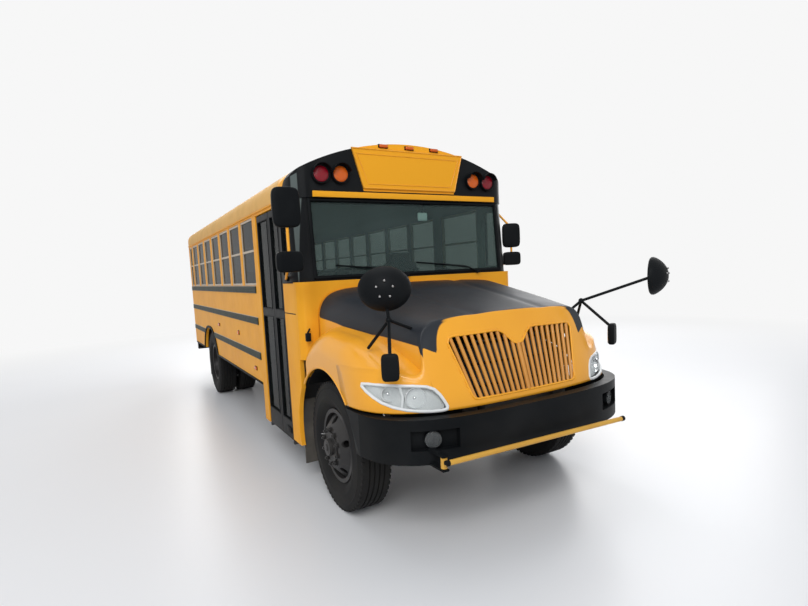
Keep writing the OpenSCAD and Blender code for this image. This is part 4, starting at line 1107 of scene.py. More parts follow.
    def lamps(self) -> None:
        """Builds each headlamp: a pale case, two bowls, a bulb each and a clear cover."""
        case = Piece("headlamp_cases", PALE, "hood")
        bowl = Piece("headlamp_bowls", CHROME, "hood")
        cover = Piece("headlamp_covers", LAMP_GLASS, "hood")
        rim = Piece("headlamp_rims", PALE, "hood")
        for piece, back, front, share in ((case, 0.075, 0.045, 0.985),
                                          (cover, 0.012, 0.002, 0.975)):
            form = bmesh.new()
            form.faces.new([form.verts.new((x, 0.0, z)) for x, z in self.headlamp(share)])
            bmesh.ops.triangulate(form, faces=form.faces)
            bmesh.ops.subdivide_edges(form, edges=form.edges, cuts=5, use_grid_fill=True)
            made = bmesh.ops.extrude_face_region(form, geom=form.faces[:], use_keep_orig=True)
            moved = {v for v in made["geom"] if isinstance(v, bmesh.types.BMVert)}
            for vert in form.verts:
                x, z = vert.co.x, vert.co.z
                vert.co = at(x, self.shape.face_y(x, z) + (back if vert in moved else front), z)
            piece.add(form)
        for x, z, radius in ((0.885, 1.062, 0.070), (1.035, 1.095, 0.050)):
            y = self.shape.face_y(x, z)
            outward = Vector((0.25, -1.0, 0.12)).normalized()
            seat = at(x, y + 0.058, z)
            bowl.lathe([(radius, 0.030), (radius * 0.93, 0.012), (radius * 0.70, -0.010),
                        (radius * 0.35, -0.026), (0.012, -0.030), (0.012, -0.036),
                        (radius * 0.40, -0.034), (radius * 0.80, -0.016), (radius * 1.03, 0.010),
                        (radius * 1.06, 0.030)], seat, outward, 32)
            bowl.ball(seat + outward * 0.004, 0.016, 16)
        rim.loop([at(inner[0], self.shape.face_y(x, z) + 0.006, inner[1])
                  for (x, z), inner in zip(HEADLAMP, self.headlamp(0.985))], 0.012)
        bar = [at(x, self.shape.face_y(x, z) + 0.022, z)
               for x, z in ((0.975, 1.150), (0.968, 1.075), (0.985, 1.005))]
        rim.tube(bar, 0.012)
        bowl.both().done()
        case.both().done(replaces=["headlamps"])
        cover.both().done()
        rim.both().done()

    def fittings(self) -> None:
        """Adds the latches behind the fenders."""
        latch = Piece("hood_latches", PLASTIC, "hood")
        latch.box(at(1.150, 0.400, 1.365), at(1.196, 0.436, 1.440), 0.008)
        latch.rod(at(1.180, 0.415, 1.435), at(1.150, 0.430, 1.475), 0.008)
        latch.both().done()

    def dress(self) -> None:
        """Builds everything on the hood."""
        self.openings(self.shell())
        self.lip()
        self.grille()
        self.lamps()
        self.fittings()


# ---------------------------------------------------------------- wheels
@dataclass(frozen=True)
class Tyre:
    """A tyre with ribs, shoulder blocks and sidewall rings.

    Attributes:
        radius: Outer radius.
        width: Width over the sidewalls.
        rim: Radius of the bead.
        blocks: Shoulder blocks round the tyre.
    """

    radius: float = TYRE_R
    width: float = 0.280
    rim: float = 0.2865
    blocks: int = 60

    def profile(self) -> Outline:
        """Returns the closed section as radius and offset."""
        w, r = self.width / 2, self.radius
        half = [(self.rim, -0.0905), (self.rim + 0.0195, -0.0925), (self.rim + 0.034, -0.103),
                (self.rim + 0.050, -w + 0.022), (self.rim + 0.075, -w + 0.006),
                (self.rim + 0.105, -w), (self.rim + 0.112, -w - 0.0015), (self.rim + 0.119, -w),
                (self.rim + 0.150, -w + 0.001), (r - 0.060, -w + 0.005),
                (r - 0.054, -w + 0.002), (r - 0.048, -w + 0.007), (r - 0.028, -w + 0.013),
                (r - 0.012, -w + 0.021), (r - 0.003, -w + 0.032), (r - 0.001, -w + 0.044)]
        ribs = []
        for groove in (-0.062, -0.021, 0.021, 0.062):
            ribs += [(r, groove - 0.0065), (r - 0.011, groove - 0.0045),
                     (r - 0.011, groove + 0.0045), (r, groove + 0.0065)]
        return half + ribs + [(a, -b) for a, b in reversed(half)]

    def build(self, piece: Piece, centre: Vector) -> None:
        """Adds the tyre and its shoulder blocks to a piece."""
        piece.lathe(self.profile(), centre, ALONG_X, 96)
        for i in range(self.blocks):
            turn = Matrix.Rotation(math.tau * i / self.blocks, 3, "X")
            for side in (-1, 1):
                middle = centre + turn @ Vector((side * (self.width / 2 - 0.030), 0,
                                                 self.radius - 0.0115))
                size = Vector((0.013, 0.0165, 0.0105))
                piece.box(middle - size, middle + size, 0.003, 1, turn)


@dataclass(frozen=True)
class Disc:
    """Stud ring and hub of a wheel.

    Attributes:
        studs: Number of wheel nuts.
        ring: Radius of the nuts' circle.
        nut: Across-corner radius of a nut.
    """

    studs: int = 10
    ring: float = 0.1425
    nut: float = 0.019

    def nuts(self, piece: Piece, centre: Vector, side: Side, face: float) -> None:
        """Adds the ring of nuts with their stud ends.

        Args:
            piece: Piece that takes the nuts.
            centre: Middle of the wheel.
            side: Side of the bus that the wheel is on.
            face: How far outward from the middle the nuts sit.
        """
        out = Vector((side, 0, 0))
        for i in range(self.studs):
            a = math.tau * (i + 0.5) / self.studs
            seat = centre + out * face + Vector((0, math.cos(a), math.sin(a))) * self.ring
            piece.rod(seat, seat + out * 0.004, self.nut * 1.25, sides=20)
            piece.rod(seat + out * 0.004, seat + out * 0.026, self.nut, sides=6, bevel=0.002)
            piece.rod(seat + out * 0.026, seat + out * 0.036, 0.010, sides=12)


class Wheels:
    """All six tyres with their rims."""

    FRONT_X = 1.023
    REAR_X = 1.055
    TWIN_SPACING = 0.330
    NUT_FACE = 0.150

    def __init__(self, frame: Frame, tyre: Tyre, disc: Disc) -> None:
        self.frame = frame
        self.tyre = tyre
        self.disc = disc

    def front(self, side: Side, label: str) -> None:
        """Dresses a front wheel: a dished disc, nuts and a hub."""
        centre, out = at(self.FRONT_X * side, 0, TYRE_R), Vector((side, 0, 0))
        body = f"front_wheel_{label}"
        tyre = Piece(f"tyre_front_{label}", TYRE, body)
        self.tyre.build(tyre, centre)
        tyre.done(30.0, [f"front_tyre_{label}"])
        self.frame.skin(f"front_rim_{label}", WHEEL, 0.003, 2, 35.0)
        hub = Piece(f"hub_front_{label}", WHEEL, body)
        self.disc.nuts(hub, centre, side, self.NUT_FACE)
        hub.lathe([(0.0, 0.198), (0.050, 0.198), (0.062, 0.193), (0.070, 0.183), (0.070, 0.176),
                   (0.0, 0.176)], centre, out, 40)
        hub.rod(centre + out * 0.196, centre + out * 0.206, 0.030, sides=24, bevel=0.003)
        hub.done()
        valve = Piece(f"valve_front_{label}", STEEL, body)
        valve.tube([centre + out * 0.060 + Vector((0, 0.245, 0.05)),
                    centre + out * 0.120 + Vector((0, 0.225, 0.045)),
                    centre + out * 0.150 + Vector((0, 0.235, 0.048))], 0.0045, 10)
        valve.done()

    def rear(self, side: Side, label: str) -> None:
        """Dresses a pair of twin rear wheels: a deep dish, nuts and a hub."""
        body = f"rear_wheels_{label}"
        centre, out = at(self.REAR_X * side, WHEELBASE, TYRE_R), Vector((side, 0, 0))
        tyres = Piece(f"tyres_rear_{label}", TYRE, body)
        for inward in (0.0, self.TWIN_SPACING):
            self.tyre.build(tyres, centre - out * inward)
        tyres.done(30.0, [f"rear_tyres_{label}"])
        self.frame.skin(f"rear_rims_{label}", WHEEL, 0.003, 2, 35.0)
        hub = Piece(f"hub_rear_{label}", WHEEL, body)
        self.disc.nuts(hub, centre, side, -self.NUT_FACE)
        hub.lathe([(0.0, 0.070), (0.060, 0.070), (0.080, 0.060), (0.086, 0.030), (0.086, 0.0),
                   (0.0, 0.0)], centre, out, 40)
        for i in range(8):
            a = math.tau * i / 8
            seat = centre + out * 0.058 + Vector((0, math.cos(a), math.sin(a))) * 0.068
            hub.rod(seat, seat + out * 0.010, 0.009, sides=6)
        hub.done()

    def dress(self) -> None:
        """Dresses every wheel."""
        for side, label in ((Side.DRIVER, "left"), (Side.DOOR, "right")):
            self.front(side, label)
            self.rear(side, label)


# ---------------------------------------------------------------- body shell
class BodyShell:
    """Walls, roof, cowl and all plain nodes of the body and chassis."""

    PAINTED = {
        "floor": FLOOR, "chassis_frame": CHASSIS, "engine": IRON, "leaf_springs": CHASSIS,
        "front_axle": CHASSIS, "driveshaft": CHASSIS, "knuckle_left": CHASSIS,
        "knuckle_right": CHASSIS, "windshield": SHIELD_GLASS, "side_windows": SIDE_GLASS,
        "door_glass_front": SIDE_GLASS, "door_glass_rear": SIDE_GLASS,
        "emergency_glass": SIDE_GLASS}
    SKINNED = {
        "left_side": (BODY, 0.003), "right_side": (BODY, 0.003), "cowl": (BODY, 0.004),
        "rear_end": (BODY, 0.004), "roof": (ROOF, 0.002), "front_cap": (CAP, 0.004),
        "window_sashes": (SASH, 0.004), "front_bumper": (BLACK, 0.007),
        "rear_bumper": (BLACK, 0.010), "dashboard": (PLASTIC, 0.025),
        "steering_wheel": (PLASTIC, 0.0), "fuel_tank": (CHASSIS, 0.030),
        "rear_axle": (CHASSIS, 0.006), "exhaust": (EXHAUST, 0.008), "mud_flaps": (MUD, 0.002),
        "stop_arm": (STOP, 0.002), "emergency_door": (BODY, 0.004),
        "door_leaf_front": (BLACK, 0.006), "door_leaf_rear": (BLACK, 0.006),
        "crossing_arm": (ARM, 0.003)}

    def __init__(self, frame: Frame) -> None:
        self.frame = frame

    def dress(self) -> None:
        """Paints the plain nodes and skins the others."""
        for name, finish in self.PAINTED.items():
            self.frame.paint(finish, name)
        for name, (finish, width) in self.SKINNED.items():
            self.frame.skin(name, finish, width)
            LOG.info("skinned %s", name)


@dataclass(frozen=True)
class SideTrim:
    """Rub rails, skirt strips, arch flares and small lamps on the walls.

    Attributes:
        bands: Lower and upper edges of the rub rails.
        stand: How far a rail stands out from the wall.
        arch_r: Radius of the rear wheel opening.
        arch_flat: Half-length of the flat stretch over the rear tyre.
        skirt: Height of the skirt's lower edge.
    """

    bands: tuple[tuple[float, float], ...] = ((1.773, 1.852), (1.414, 1.494), (1.011, 1.091))
    stand: float = 0.012
    arch_r: float = 0.605
    arch_flat: float = 0.090
    skirt: float = 0.729

    def rail_outline(self, low: float, high: float) -> Outline:
        """Returns a ribbed rail's section as x and z."""
        x0, x1 = HALF_WIDTH - 0.001, HALF_WIDTH + self.stand
        outline = [(x0, low)]
        ribs = 4
        pitch = (high - low) / ribs
        for i in range(ribs):
            z = low + i * pitch
            outline += [(x1 - 0.006, z + 0.001), (x1, z + pitch * 0.22), (x1, z + pitch * 0.74),
                        (x1 - 0.006, z + pitch * 0.94)]
        return outline + [(x0, high)]

    def rails(self) -> None:
        """Builds the ribbed rails with a bright bead along each upper edge."""
        rails = Piece("ribbed_rub_rails", RAIL)
        beads = Piece("rail_beads", SASH)
        for low, high in self.bands:
            spans = [(POST_Y, SIDE_END)]
            if low < 1.1:
                spans = [(POST_Y, WHEELBASE - 0.470), (WHEELBASE + 0.470, SIDE_END)]
            for y0, y1 in spans:
                rails.prism(self.rail_outline(low, high), y0, y1, Axis.Y)
                beads.rod(at(HALF_WIDTH + 0.002, y0 + 0.004, high + 0.004),
                          at(HALF_WIDTH + 0.002, y1 - 0.004, high + 0.004), 0.004, sides=8)
        rails.both().done(20.0, ["rub_rails"])
        beads.both().done()

    def edges(self) -> None:
        """Builds the skirt strips and the drip rail under the eave."""
        strips = Piece("skirt_strips", PLASTIC)
        for y0, y1 in ((POST_Y + 0.01, WHEELBASE - 0.66), (WHEELBASE + 0.66, SIDE_END - 0.01)):
            strips.box(at(HALF_WIDTH - 0.004, y0, self.skirt - 0.004),
                       at(HALF_WIDTH + 0.008, y1, self.skirt + 0.022), 0.003)
        strips.both().done()
        drip = Piece("drip_rails", BODY)
        outline = [(HALF_WIDTH - 0.002, 2.632), (HALF_WIDTH + 0.014, 2.636),
                   (HALF_WIDTH + 0.018, 2.648), (HALF_WIDTH + 0.013, 2.650),
                   (HALF_WIDTH + 0.010, 2.642), (HALF_WIDTH - 0.002, 2.642)]
        drip.prism(outline, 0.925, SIDE_END, Axis.Y)
        drip.both().done()

    def flares(self) -> None:
        """Builds the rubber flares round the rear wheel openings."""
        flare = Piece("arch_flares", PLASTIC)
        start = math.degrees(math.asin((self.skirt - TYRE_R) / self.arch_r))
        lips = []
        for radius in (self.arch_r - 0.002, self.arch_r + 0.034):
            back = arc((WHEELBASE + self.arch_flat, TYRE_R), radius, start, 90.0, 24)
            front = arc((WHEELBASE - self.arch_flat, TYRE_R), radius, 90.0, 180.0 - start, 24)
            lips.append(back + front)
        flare.prism(lips[0] + lips[1][::-1], HALF_WIDTH - 0.004, HALF_WIDTH + 0.016, Axis.X, 0.005)
        flare.both().done(40.0)

    def lamps(self) -> None:
        """Builds the small side lamps and the reflectors."""
        amber = Piece("side_marker_lenses", AMBER)
        base = Piece("side_marker_bases", PLASTIC)
        x = HALF_WIDTH
        for y, z, half, tall in ((2.27, 0.88, 0.055, 0.022), (4.53, 1.257, 0.050, 0.024),
                                 (3.11, 1.241, 0.030, 0.030)):
            base.box(at(x - 0.002, y - half, z - tall), at(x + 0.007, y + half, z + tall), 0.003)
            amber.box(at(x + 0.004, y - half * 0.86, z - tall * 0.76),
                      at(x + 0.015, y + half * 0.86, z + tall * 0.76), 0.005, 3)
        amber.both().done()
        base.both().done()

    def dress(self) -> None:
        """Builds all the trim of both walls."""
        self.rails()
        self.edges()
        self.flares()
        self.lamps()


# ---------------------------------------------------------------- front of the body
def leaning(x: float, depth: float, z: float) -> Vector:
    """Returns a point of the leaning windshield, a depth behind its outer plane."""
    a, rise = math.radians(4.5), z - 2.630
    return at(x, 0.530 + depth * math.cos(a) + rise * math.sin(a),
              2.630 - depth * math.sin(a) + rise * math.cos(a))


@dataclass(frozen=True)
class WarningLamp:
    """A round warning lamp: a black ring with a visor, and a fluted lens.

    Attributes:
        radius: Outer radius of the ring.
        deep: How far the ring stands off the panel.
        visor: Length of the visor ahead of the ring.
    """

    radius: float = 0.088
    deep: float = 0.038
    visor: float = 0.055

    def build(self, ring: Piece, lens: Piece, x: float, y: float, z: float, facing: int) -> None:
        """Adds one lamp.

        Args:
            ring: Piece that takes the ring and visor.
            lens: Piece that takes the lens.
            x: Middle across the bus.
            y: The panel's face.
            z: Middle height.
            facing: -1 for the front, 1 for the rear.
        """
        r, out = self.radius, Vector((0, facing, 0))
        ring.lathe([(r * 0.80, 0.0), (r, 0.0), (r, self.deep - 0.006), (r - 0.004, self.deep),
                    (r * 0.90, self.deep), (r * 0.86, self.deep - 0.008),
                    (r * 0.80, self.deep - 0.010)], at(x, y, z), out, 48)
        lens.lathe([(0.0, self.deep), (r * 0.30, self.deep - 0.001), (r * 0.60, self.deep - 0.005),
                    (r * 0.78, self.deep - 0.010), (r * 0.85, self.deep - 0.017),
                    (r * 0.85, 0.004), (0.0, 0.004)], at(x, y, z), out, 48)
        outer = arc((x, z), r + 0.001, 12.0, 168.0, 30)
        inner = arc((x, z), r - 0.003, 168.0, 12.0, 30)
        ends = (y + facing * (self.deep - 0.008), y + facing * (self.deep + self.visor))
        ring.prism(outer + inner, min(ends), max(ends), Axis.Y)


@dataclass(frozen=True)
class FrontCap:
    """Sign, lamps, gasket, wipers and inner mirror at the front of the body.

    Attributes:
        face: Where the cap's face lies behind the front axle.
        lamp: The warning lamps.
    """

    face: float = 0.512
    lamp: WarningLamp = WarningLamp()

    def sign(self) -> None:
        """Frames the blank sign, and fits the three markers over it."""
        rim = Piece("sign_rim", NOSE)
        y = self.face - 0.016
        for half_top, top, half_foot, foot, radius in ((0.612, 3.088, 0.510, 2.730, 0.006),
                                                       (0.567, 3.040, 0.465, 2.768, 0.004)):
            rim.loop([at(x, y, z) for x, z in ((-half_top, top), (half_top, top),
                                               (half_foot, foot), (-half_foot, foot))], radius, 10)
        rim.done()
        markers, bases = Piece("cap_markers", AMBER), Piece("cap_marker_bases", PLASTIC)
        for x in (-0.284, 0.0, 0.284):
            bases.box(at(x - 0.052, self.face - 0.006, 3.108),
                      at(x + 0.052, self.face + 0.05, 3.146), 0.006)
            markers.box(at(x - 0.044, self.face - 0.024, 3.113), at(x + 0.044, self.face, 3.141),
                        0.010, 4)
        markers.done()
        bases.done()

    def lamps(self) -> None:
        """Builds the warning lamps at both ends of the body, and the rear lamps."""
        ring = Piece("warning_lamp_rings", BLACK)
        red, amber = Piece("red_warning_lenses", RED), Piece("amber_warning_lenses", AMBER)
        for y, facing in ((self.face, -1), (BODY_END, 1)):
            self.lamp.build(ring, red, 0.932, y, 2.836, facing)
            self.lamp.build(ring, amber, 0.744, y, 2.843, facing)
        for x, lens in ((0.900, red), (0.700, amber)):
            self.lamp.build(ring, lens, x, BODY_END, 1.280, 1)
        ring.both().done(replaces=["lamps"])
        red.both().done()
        amber.both().done()

    def gasket(self) -> None:
        """Builds the rubber gasket round the windshield."""
        rubber = Piece("windshield_gasket", PLASTIC)
        half, low, high = 1.050, 1.914, 2.612
        rubber.loop([leaning(x, 0.0, z) for x, z in rectangle((-half, low), (half, high))], 0.018)
        rubber.done()

    def wipers(self) -> None:
        """Builds both wipers with their arms and blades."""
        arm = Piece("wipers", PLASTIC)
        for x in (-0.130, 0.720):
            foot = leaning(x, -0.030, 1.900)
            arm.lathe([(0.0, 0.024), (0.018, 0.022), (0.022, 0.0), (0.0, 0.0)], foot, -ALONG_Y, 24)
            arm.tube([foot, leaning(x - 0.10, -0.030, 1.945), leaning(x - 0.42, -0.024, 1.990)],
                     0.008, 10)
            for depth, radius in ((-0.014, 0.008), (-0.006, 0.004)):
                arm.rod(leaning(x - 0.12, depth, 1.958), leaning(x - 0.72, depth, 2.018), radius,
                        sides=8)
        arm.done()

    def inside(self) -> None:
        """Builds the wide mirror inside, over the windshield."""
        Piece("inner_mirror", PALE).box(
            at(0.125, 0.600, 2.440), at(0.235, 0.626, 2.525), 0.014, 3).done()
        Piece("inner_mirror_stalk", PLASTIC).rod(
            at(0.180, 0.612, 2.515), at(0.180, 0.600, 2.650), 0.008).done()
        Piece("inner_mirror_glass", MIRROR).box(
            at(0.133, 0.624, 2.447), at(0.227, 0.630, 2.518), 0.002).done()

    def cowl(self) -> None:
        """Builds the black seams of the cowl, and the strip under the windshield."""
        seam = Piece("cowl_seams", PLASTIC)
        seam.box(at(HALF_WIDTH - 0.003, 0.585, 1.597), at(HALF_WIDTH + 0.002, 0.925, 1.605))
        seam.box(at(HALF_WIDTH - 0.003, 0.600, 1.878), at(HALF_WIDTH + 0.004, 0.925, 1.890), 0.002)
        seam.both().done()
        Piece("cowl_vent", PLASTIC).box(
            at(-0.62, 0.458, 1.858), at(0.62, 0.470, 1.880), 0.003).done()

    def dress(self) -> None:
        """Builds everything on the body's front."""
        self.sign()
        self.lamps()
        self.gasket()
        self.wipers()
        self.inside()
        self.cowl()


# ---------------------------------------------------------------- mirrors
@dataclass(frozen=True)
class Mirrors:
    """Side mirrors on the body and cross-view mirrors on the hood.

    Attributes:
        dome: Radius of a cross-view mirror.
        turn: Outward turn of the mirrors' faces.
        squash: Height of a cross-view mirror as a share of its width.
        swell: Angle from the crown of a dome's back to its rim.
        curve: Radius of the dome's back.
    """

    dome: float = 0.190
    turn: float = math.radians(27.0)
    squash: float = 0.84
    swell: float = 1.047
    curve: float = 0.2195

    def side_heads(self) -> None:
        """Builds the flat mirrors beside the cab."""
        head = Piece("side_mirror_heads", PLASTIC)
        glass = Piece("side_mirror_glass", MIRROR)
        for x0, x1, z0, z1 in ((-1.520, -1.300, 2.318, 2.628), (-1.516, -1.304, 1.972, 2.136)):
            head.pad(at(x0, 0.0, z0), at(x1, 0.068, z1), 5.0)
            glass.box(at(x0 + 0.024, 0.060, z0 + 0.024), at(x1 - 0.024, 0.069, z1 - 0.024), 0.004)
        turn = Matrix.Rotation(math.radians(-30.0), 3, "Z")
        middle = at(HALF_WIDTH + 0.120, 0.600, 0.0)
        for z0, z1 in ((2.150, 2.420), (1.950, 2.100)):
            low, high = middle + Vector((-0.1, -0.035, z0)), middle + Vector((0.1, 0.033, z1))
            head.pad(low, high, 5.0, turn=turn)
            pane = middle + turn @ Vector((0.0, 0.032, 0.0))
            glass.box(pane + Vector((-0.086, -0.003, z0 + 0.014)),
                      pane + Vector((0.086, 0.003, z1 - 0.014)), 0.002, 2, turn)
        head.done(replaces=["side_mirrors"])
        glass.done()

    def side_arms(self) -> None:
        """Builds the tubes that carry the side mirrors."""
        tube = Piece("side_mirror_arms", NOSE)
        feet = (1.921, 2.595)
        door, driver, foot_x = -1.410, HALF_WIDTH + 0.120, 1.233
        for start, end in (
                (at(door, 0.035, 2.110), at(door, 0.035, 2.345)),
                (at(door, 0.060, 2.560), at(-foot_x, 0.760, feet[1])),
                (at(door, 0.060, 2.050), at(-foot_x, 0.760, feet[0])),
                (at(driver, 0.600, 2.080), at(driver, 0.600, 2.170)),
                (at(driver - 0.010, 0.600, 2.385), at(foot_x, 0.760, feet[1])),
                (at(driver - 0.010, 0.600, 2.010), at(foot_x, 0.760, feet[0]))):
            tube.tube([start, end], 0.012)
        tube.done()
        foot = Piece("side_mirror_feet", PLASTIC)
        for z in feet:
            foot.box(at(HALF_WIDTH - 0.002, 0.730, z - 0.024),
                     at(HALF_WIDTH + 0.018, 0.790, z + 0.024), 0.007, 3)
        foot.both().done()

    def cross_view(self) -> None:
        """Builds the domed mirrors at the nose with their legs and lower mirrors."""
        shell = Piece("cross_view_shells", PLASTIC, "hood")
        glass = Piece("cross_view_glass", MIRROR, "hood")
        legs = Piece("cross_view_legs", BLACK, "hood")
        bolts = Piece("cross_view_bolts", STEEL, "hood")
        r = self.dome
        for side, middle in ((Side.DOOR, at(-0.970, -0.700, 1.820)),
                             (Side.DRIVER, at(1.3507, -1.180, 1.795))):
            out = Vector((side * math.sin(self.turn), -math.cos(self.turn), 0))
            crown = [(r * math.sin(a) / math.sin(self.swell), self.curve * math.cos(a) - 0.110)
                     for a in spread(14, 0.0, self.swell)]
            rim = [(r, -0.002), (r, -0.020), (r - 0.010, -0.029), (r - 0.018, -0.020),
                   (0.0, -0.020)]
            shell.lathe([(0.0, crown[0][1])] + crown[1:-1] + rim, middle, out, 64, self.squash)
            glass.lathe([(0.0, -0.0295), (r * 0.5, -0.0275), (r * 0.85, -0.0225),
                         (r - 0.017, -0.0195), (0.0, -0.0185)], middle, out, 64, self.squash)
            across = Vector((math.cos(self.turn), side * math.sin(self.turn), 0))
            for i in range(5):
                a = math.tau * i / 5 + 0.3
                seat = (middle + (across * math.cos(a) + UP * math.sin(a)) * 0.060
                        + out * 0.099)
                bolts.rod(seat, seat + out * 0.012, 0.008, sides=6, bevel=0.001)
            hub = at(side * 0.965, -0.730, 1.600)
            legs.tube([middle, hub, at(side * 1.078, -0.935, 1.385)], 0.0125)
            legs.tube([hub, at(side * 0.715, -0.758, 1.490)], 0.012)
            legs.tube([hub, at(side * 1.062, -0.578, 1.400)], 0.012)
            legs.ball(hub, 0.024, 20)
            low = at(side * 1.085, -0.946, 1.312)
            turn = Matrix.Rotation(side * self.turn, 3, "Z")
            back = turn @ Vector((0, -0.010, -0.0025))
            size = Vector((0.060, 0.029, 0.0925))
            shell.pad(low + back - size, low + back + size, 5.0, turn=turn)
            pane = low + turn @ Vector((0, 0.017, -0.0025))
            size = Vector((0.046, 0.003, 0.078))
            glass.box(pane - size, pane + size, 0.001, 2, turn)
        shell.done(replaces=["cross_view_mirrors"])
        for piece in (glass, legs, bolts):
            piece.done()

    def dress(self) -> None:
        """Builds all the mirrors."""
        self.side_heads()
        self.side_arms()
        self.cross_view()


# ---------------------------------------------------------------- doors
@dataclass(frozen=True)
class Doors:
    """Seals and fittings of the entrance leaves and the emergency door.

    Attributes:
        leaves: Front and rear edge of each leaf.
        stile: Distance from a leaf's edge to its pane.
        panes: Lower and upper edge of each pane in a leaf.
        exit_half: Half-width of the emergency door's panes.
        exit_panes: Lower and upper edge of each pane in the emergency door.
    """

    leaves: tuple[tuple[str, float, float], ...] = (("front", 0.936, 1.307),
                                                    ("rear", 1.313, 1.794))
    stile: float = 0.057
    panes: tuple[tuple[float, float], ...] = ((0.520, 1.540), (1.620, 2.536))
    exit_half: float = 0.330
    exit_panes: tuple[tuple[float, float], ...] = ((1.240, 1.640), (1.860, 2.510))

    def entrance(self) -> None:
        """Builds the pane seals, the meeting seal and the grab rail of the leaves."""
        x = -(HALF_WIDTH - 0.008)
        for label, y0, y1 in self.leaves:
            seal = Piece(f"door_seals_{label}", PLASTIC, f"door_{label}")
            for z0, z1 in self.panes:
                pane = rectangle((y0 + self.stile, z0 + 0.002), (y1 - self.stile, z1 - 0.002))
                seal.loop([at(x + 0.001, y, z) for y, z in pane], 0.006, 10)
            seal.done()
        Piece("door_meeting_lip", MUD, "door_front").box(
            at(x + 0.010, 1.304, 0.345), at(x + 0.026, 1.3085, 2.590), 0.002).done()
        Piece("door_grip", PLASTIC, "door_front").box(
            at(x - 0.010, 0.985, 0.400), at(x + 0.002, 1.140, 0.455), 0.004).done()

    def emergency(self) -> None:
        """Builds the seals and handle of the emergency door."""
        seal = Piece("exit_seals", PLASTIC, "emergency_door")
        for z0, z1 in self.exit_panes:
            half = self.exit_half - 0.003
            pane = rectangle((-half, z0 + 0.003), (half, z1 - 0.003))
            seal.loop([at(x, BODY_END - 0.001, z) for x, z in pane], 0.010)
        seal.done()
        handle = Piece("exit_handle", STEEL, "emergency_door")
        handle.box(at(0.270, BODY_END - 0.002, 1.700), at(0.350, BODY_END + 0.010, 1.800), 0.004)
        handle.tube([at(0.310, BODY_END + 0.006, 1.750), at(0.310, BODY_END + 0.040, 1.750),
                     at(0.180, BODY_END + 0.040, 1.738)], 0.010)
        handle.done()

    def dress(self) -> None:
        """Builds the fittings of all the doors."""
        self.entrance()
        self.emergency()


# ---------------------------------------------------------------- seats
@dataclass(frozen=True)
class Seats:
    """Padded benches and the driver's seat.

    Attributes:
        first: Front of the first row's cushions.
        pitch: Spacing of the rows.
        rows: Number of rows.
        inner: Aisle end of a bench.
        outer: Wall end of a bench.
        fullness: How square the pads are; a higher number is squarer.
        driver_x: Middle of the driver's seat across the bus.
    """

    first: float = POST_Y + 0.320
    pitch: float = 0.640
    rows: int = 8
    inner: float = 0.262
    outer: float = 1.162
    fullness: float = 7.0
    driver_x: float = 0.560

    def benches(self) -> None:
        """Builds all the benches: cushion, back, seams and legs."""
        cushions = Piece("bench_cushions", VINYL)
        backs = Piece("bench_backs", VINYL)
        legs = Piece("bench_legs", STEEL)
        seams = Piece("bench_seams", MUD)
        for i in range(self.rows):
            y = self.first + i * self.pitch
            if y + 0.500 > BODY_END - 0.045:
                break
            cushions.pad(at(self.inner, y, 1.335), at(self.outer, y + 0.378, 1.452), self.fullness)
            backs.pad(at(self.inner, y + 0.383, 1.345), at(self.outer, y + 0.470, 2.040),
                      self.fullness)
            seam = rectangle((self.inner + 0.03, 1.39), (self.outer - 0.03, 2.0))
            seams.loop([at(x, y + 0.383, z) for x, z in seam], 0.004, 6)
            leg_x = self.inner + 0.078
            for leg_y in (y + 0.075, y + 0.325):
                legs.rod(at(leg_x, leg_y, FLOOR_TOP), at(leg_x, leg_y, 1.350), 0.016, sides=12)
            legs.box(at(self.outer - 0.028, y + 0.060, 1.300),
                     at(self.outer + 0.010, y + 0.370, 1.338), 0.004)
        cushions.both().done(60.0, ["passenger_seats"])
        backs.both().done(60.0)
        legs.both().done()
        seams.both().done()

    def driver(self) -> None:
        """Builds the driver's seat with its bolsters and pedestal."""
        x = self.driver_x
        cushion = Piece("driver_cushion", FABRIC)
        cushion.pad(at(x - 0.238, 1.302, 1.482), at(x + 0.238, 1.752, 1.598), self.fullness)
        for side in (-1, 1):
            cushion.pad(at(x + side * 0.205 - 0.035, 1.330, 1.520),
                        at(x + side * 0.205 + 0.035, 1.740, 1.625), self.fullness)
        cushion.done(60.0, ["driver_seat"])
        back = Piece("driver_back", FABRIC)
        back.pad(at(x - 0.232, 1.762, 1.500), at(x + 0.232, 1.878, 2.060), self.fullness)
        back.pad(at(x - 0.140, 1.775, 2.040), at(x + 0.140, 1.872, 2.178), self.fullness)
        for side in (-1, 1):
            back.pad(at(x + side * 0.195 - 0.040, 1.735, 1.560),
                     at(x + side * 0.195 + 0.040, 1.840, 1.980), self.fullness)
        back.done(60.0)
        base = Piece("driver_pedestal", PLASTIC)
        base.box(at(x - 0.155, 1.385, FLOOR_TOP), at(x + 0.155, 1.695, 1.120), 0.015, 3)
        for i in range(4):
            z = 1.115 + i * 0.088
            base.box(at(x - 0.130, 1.405, z), at(x + 0.130, 1.675, z + 0.084), 0.030, 3)
        base.box(at(x - 0.180, 1.360, 1.462), at(x + 0.180, 1.715, 1.495), 0.010, 3)
        base.done()

    def dress(self) -> None:
        """Builds all the seats."""
        self.benches()
        self.driver()


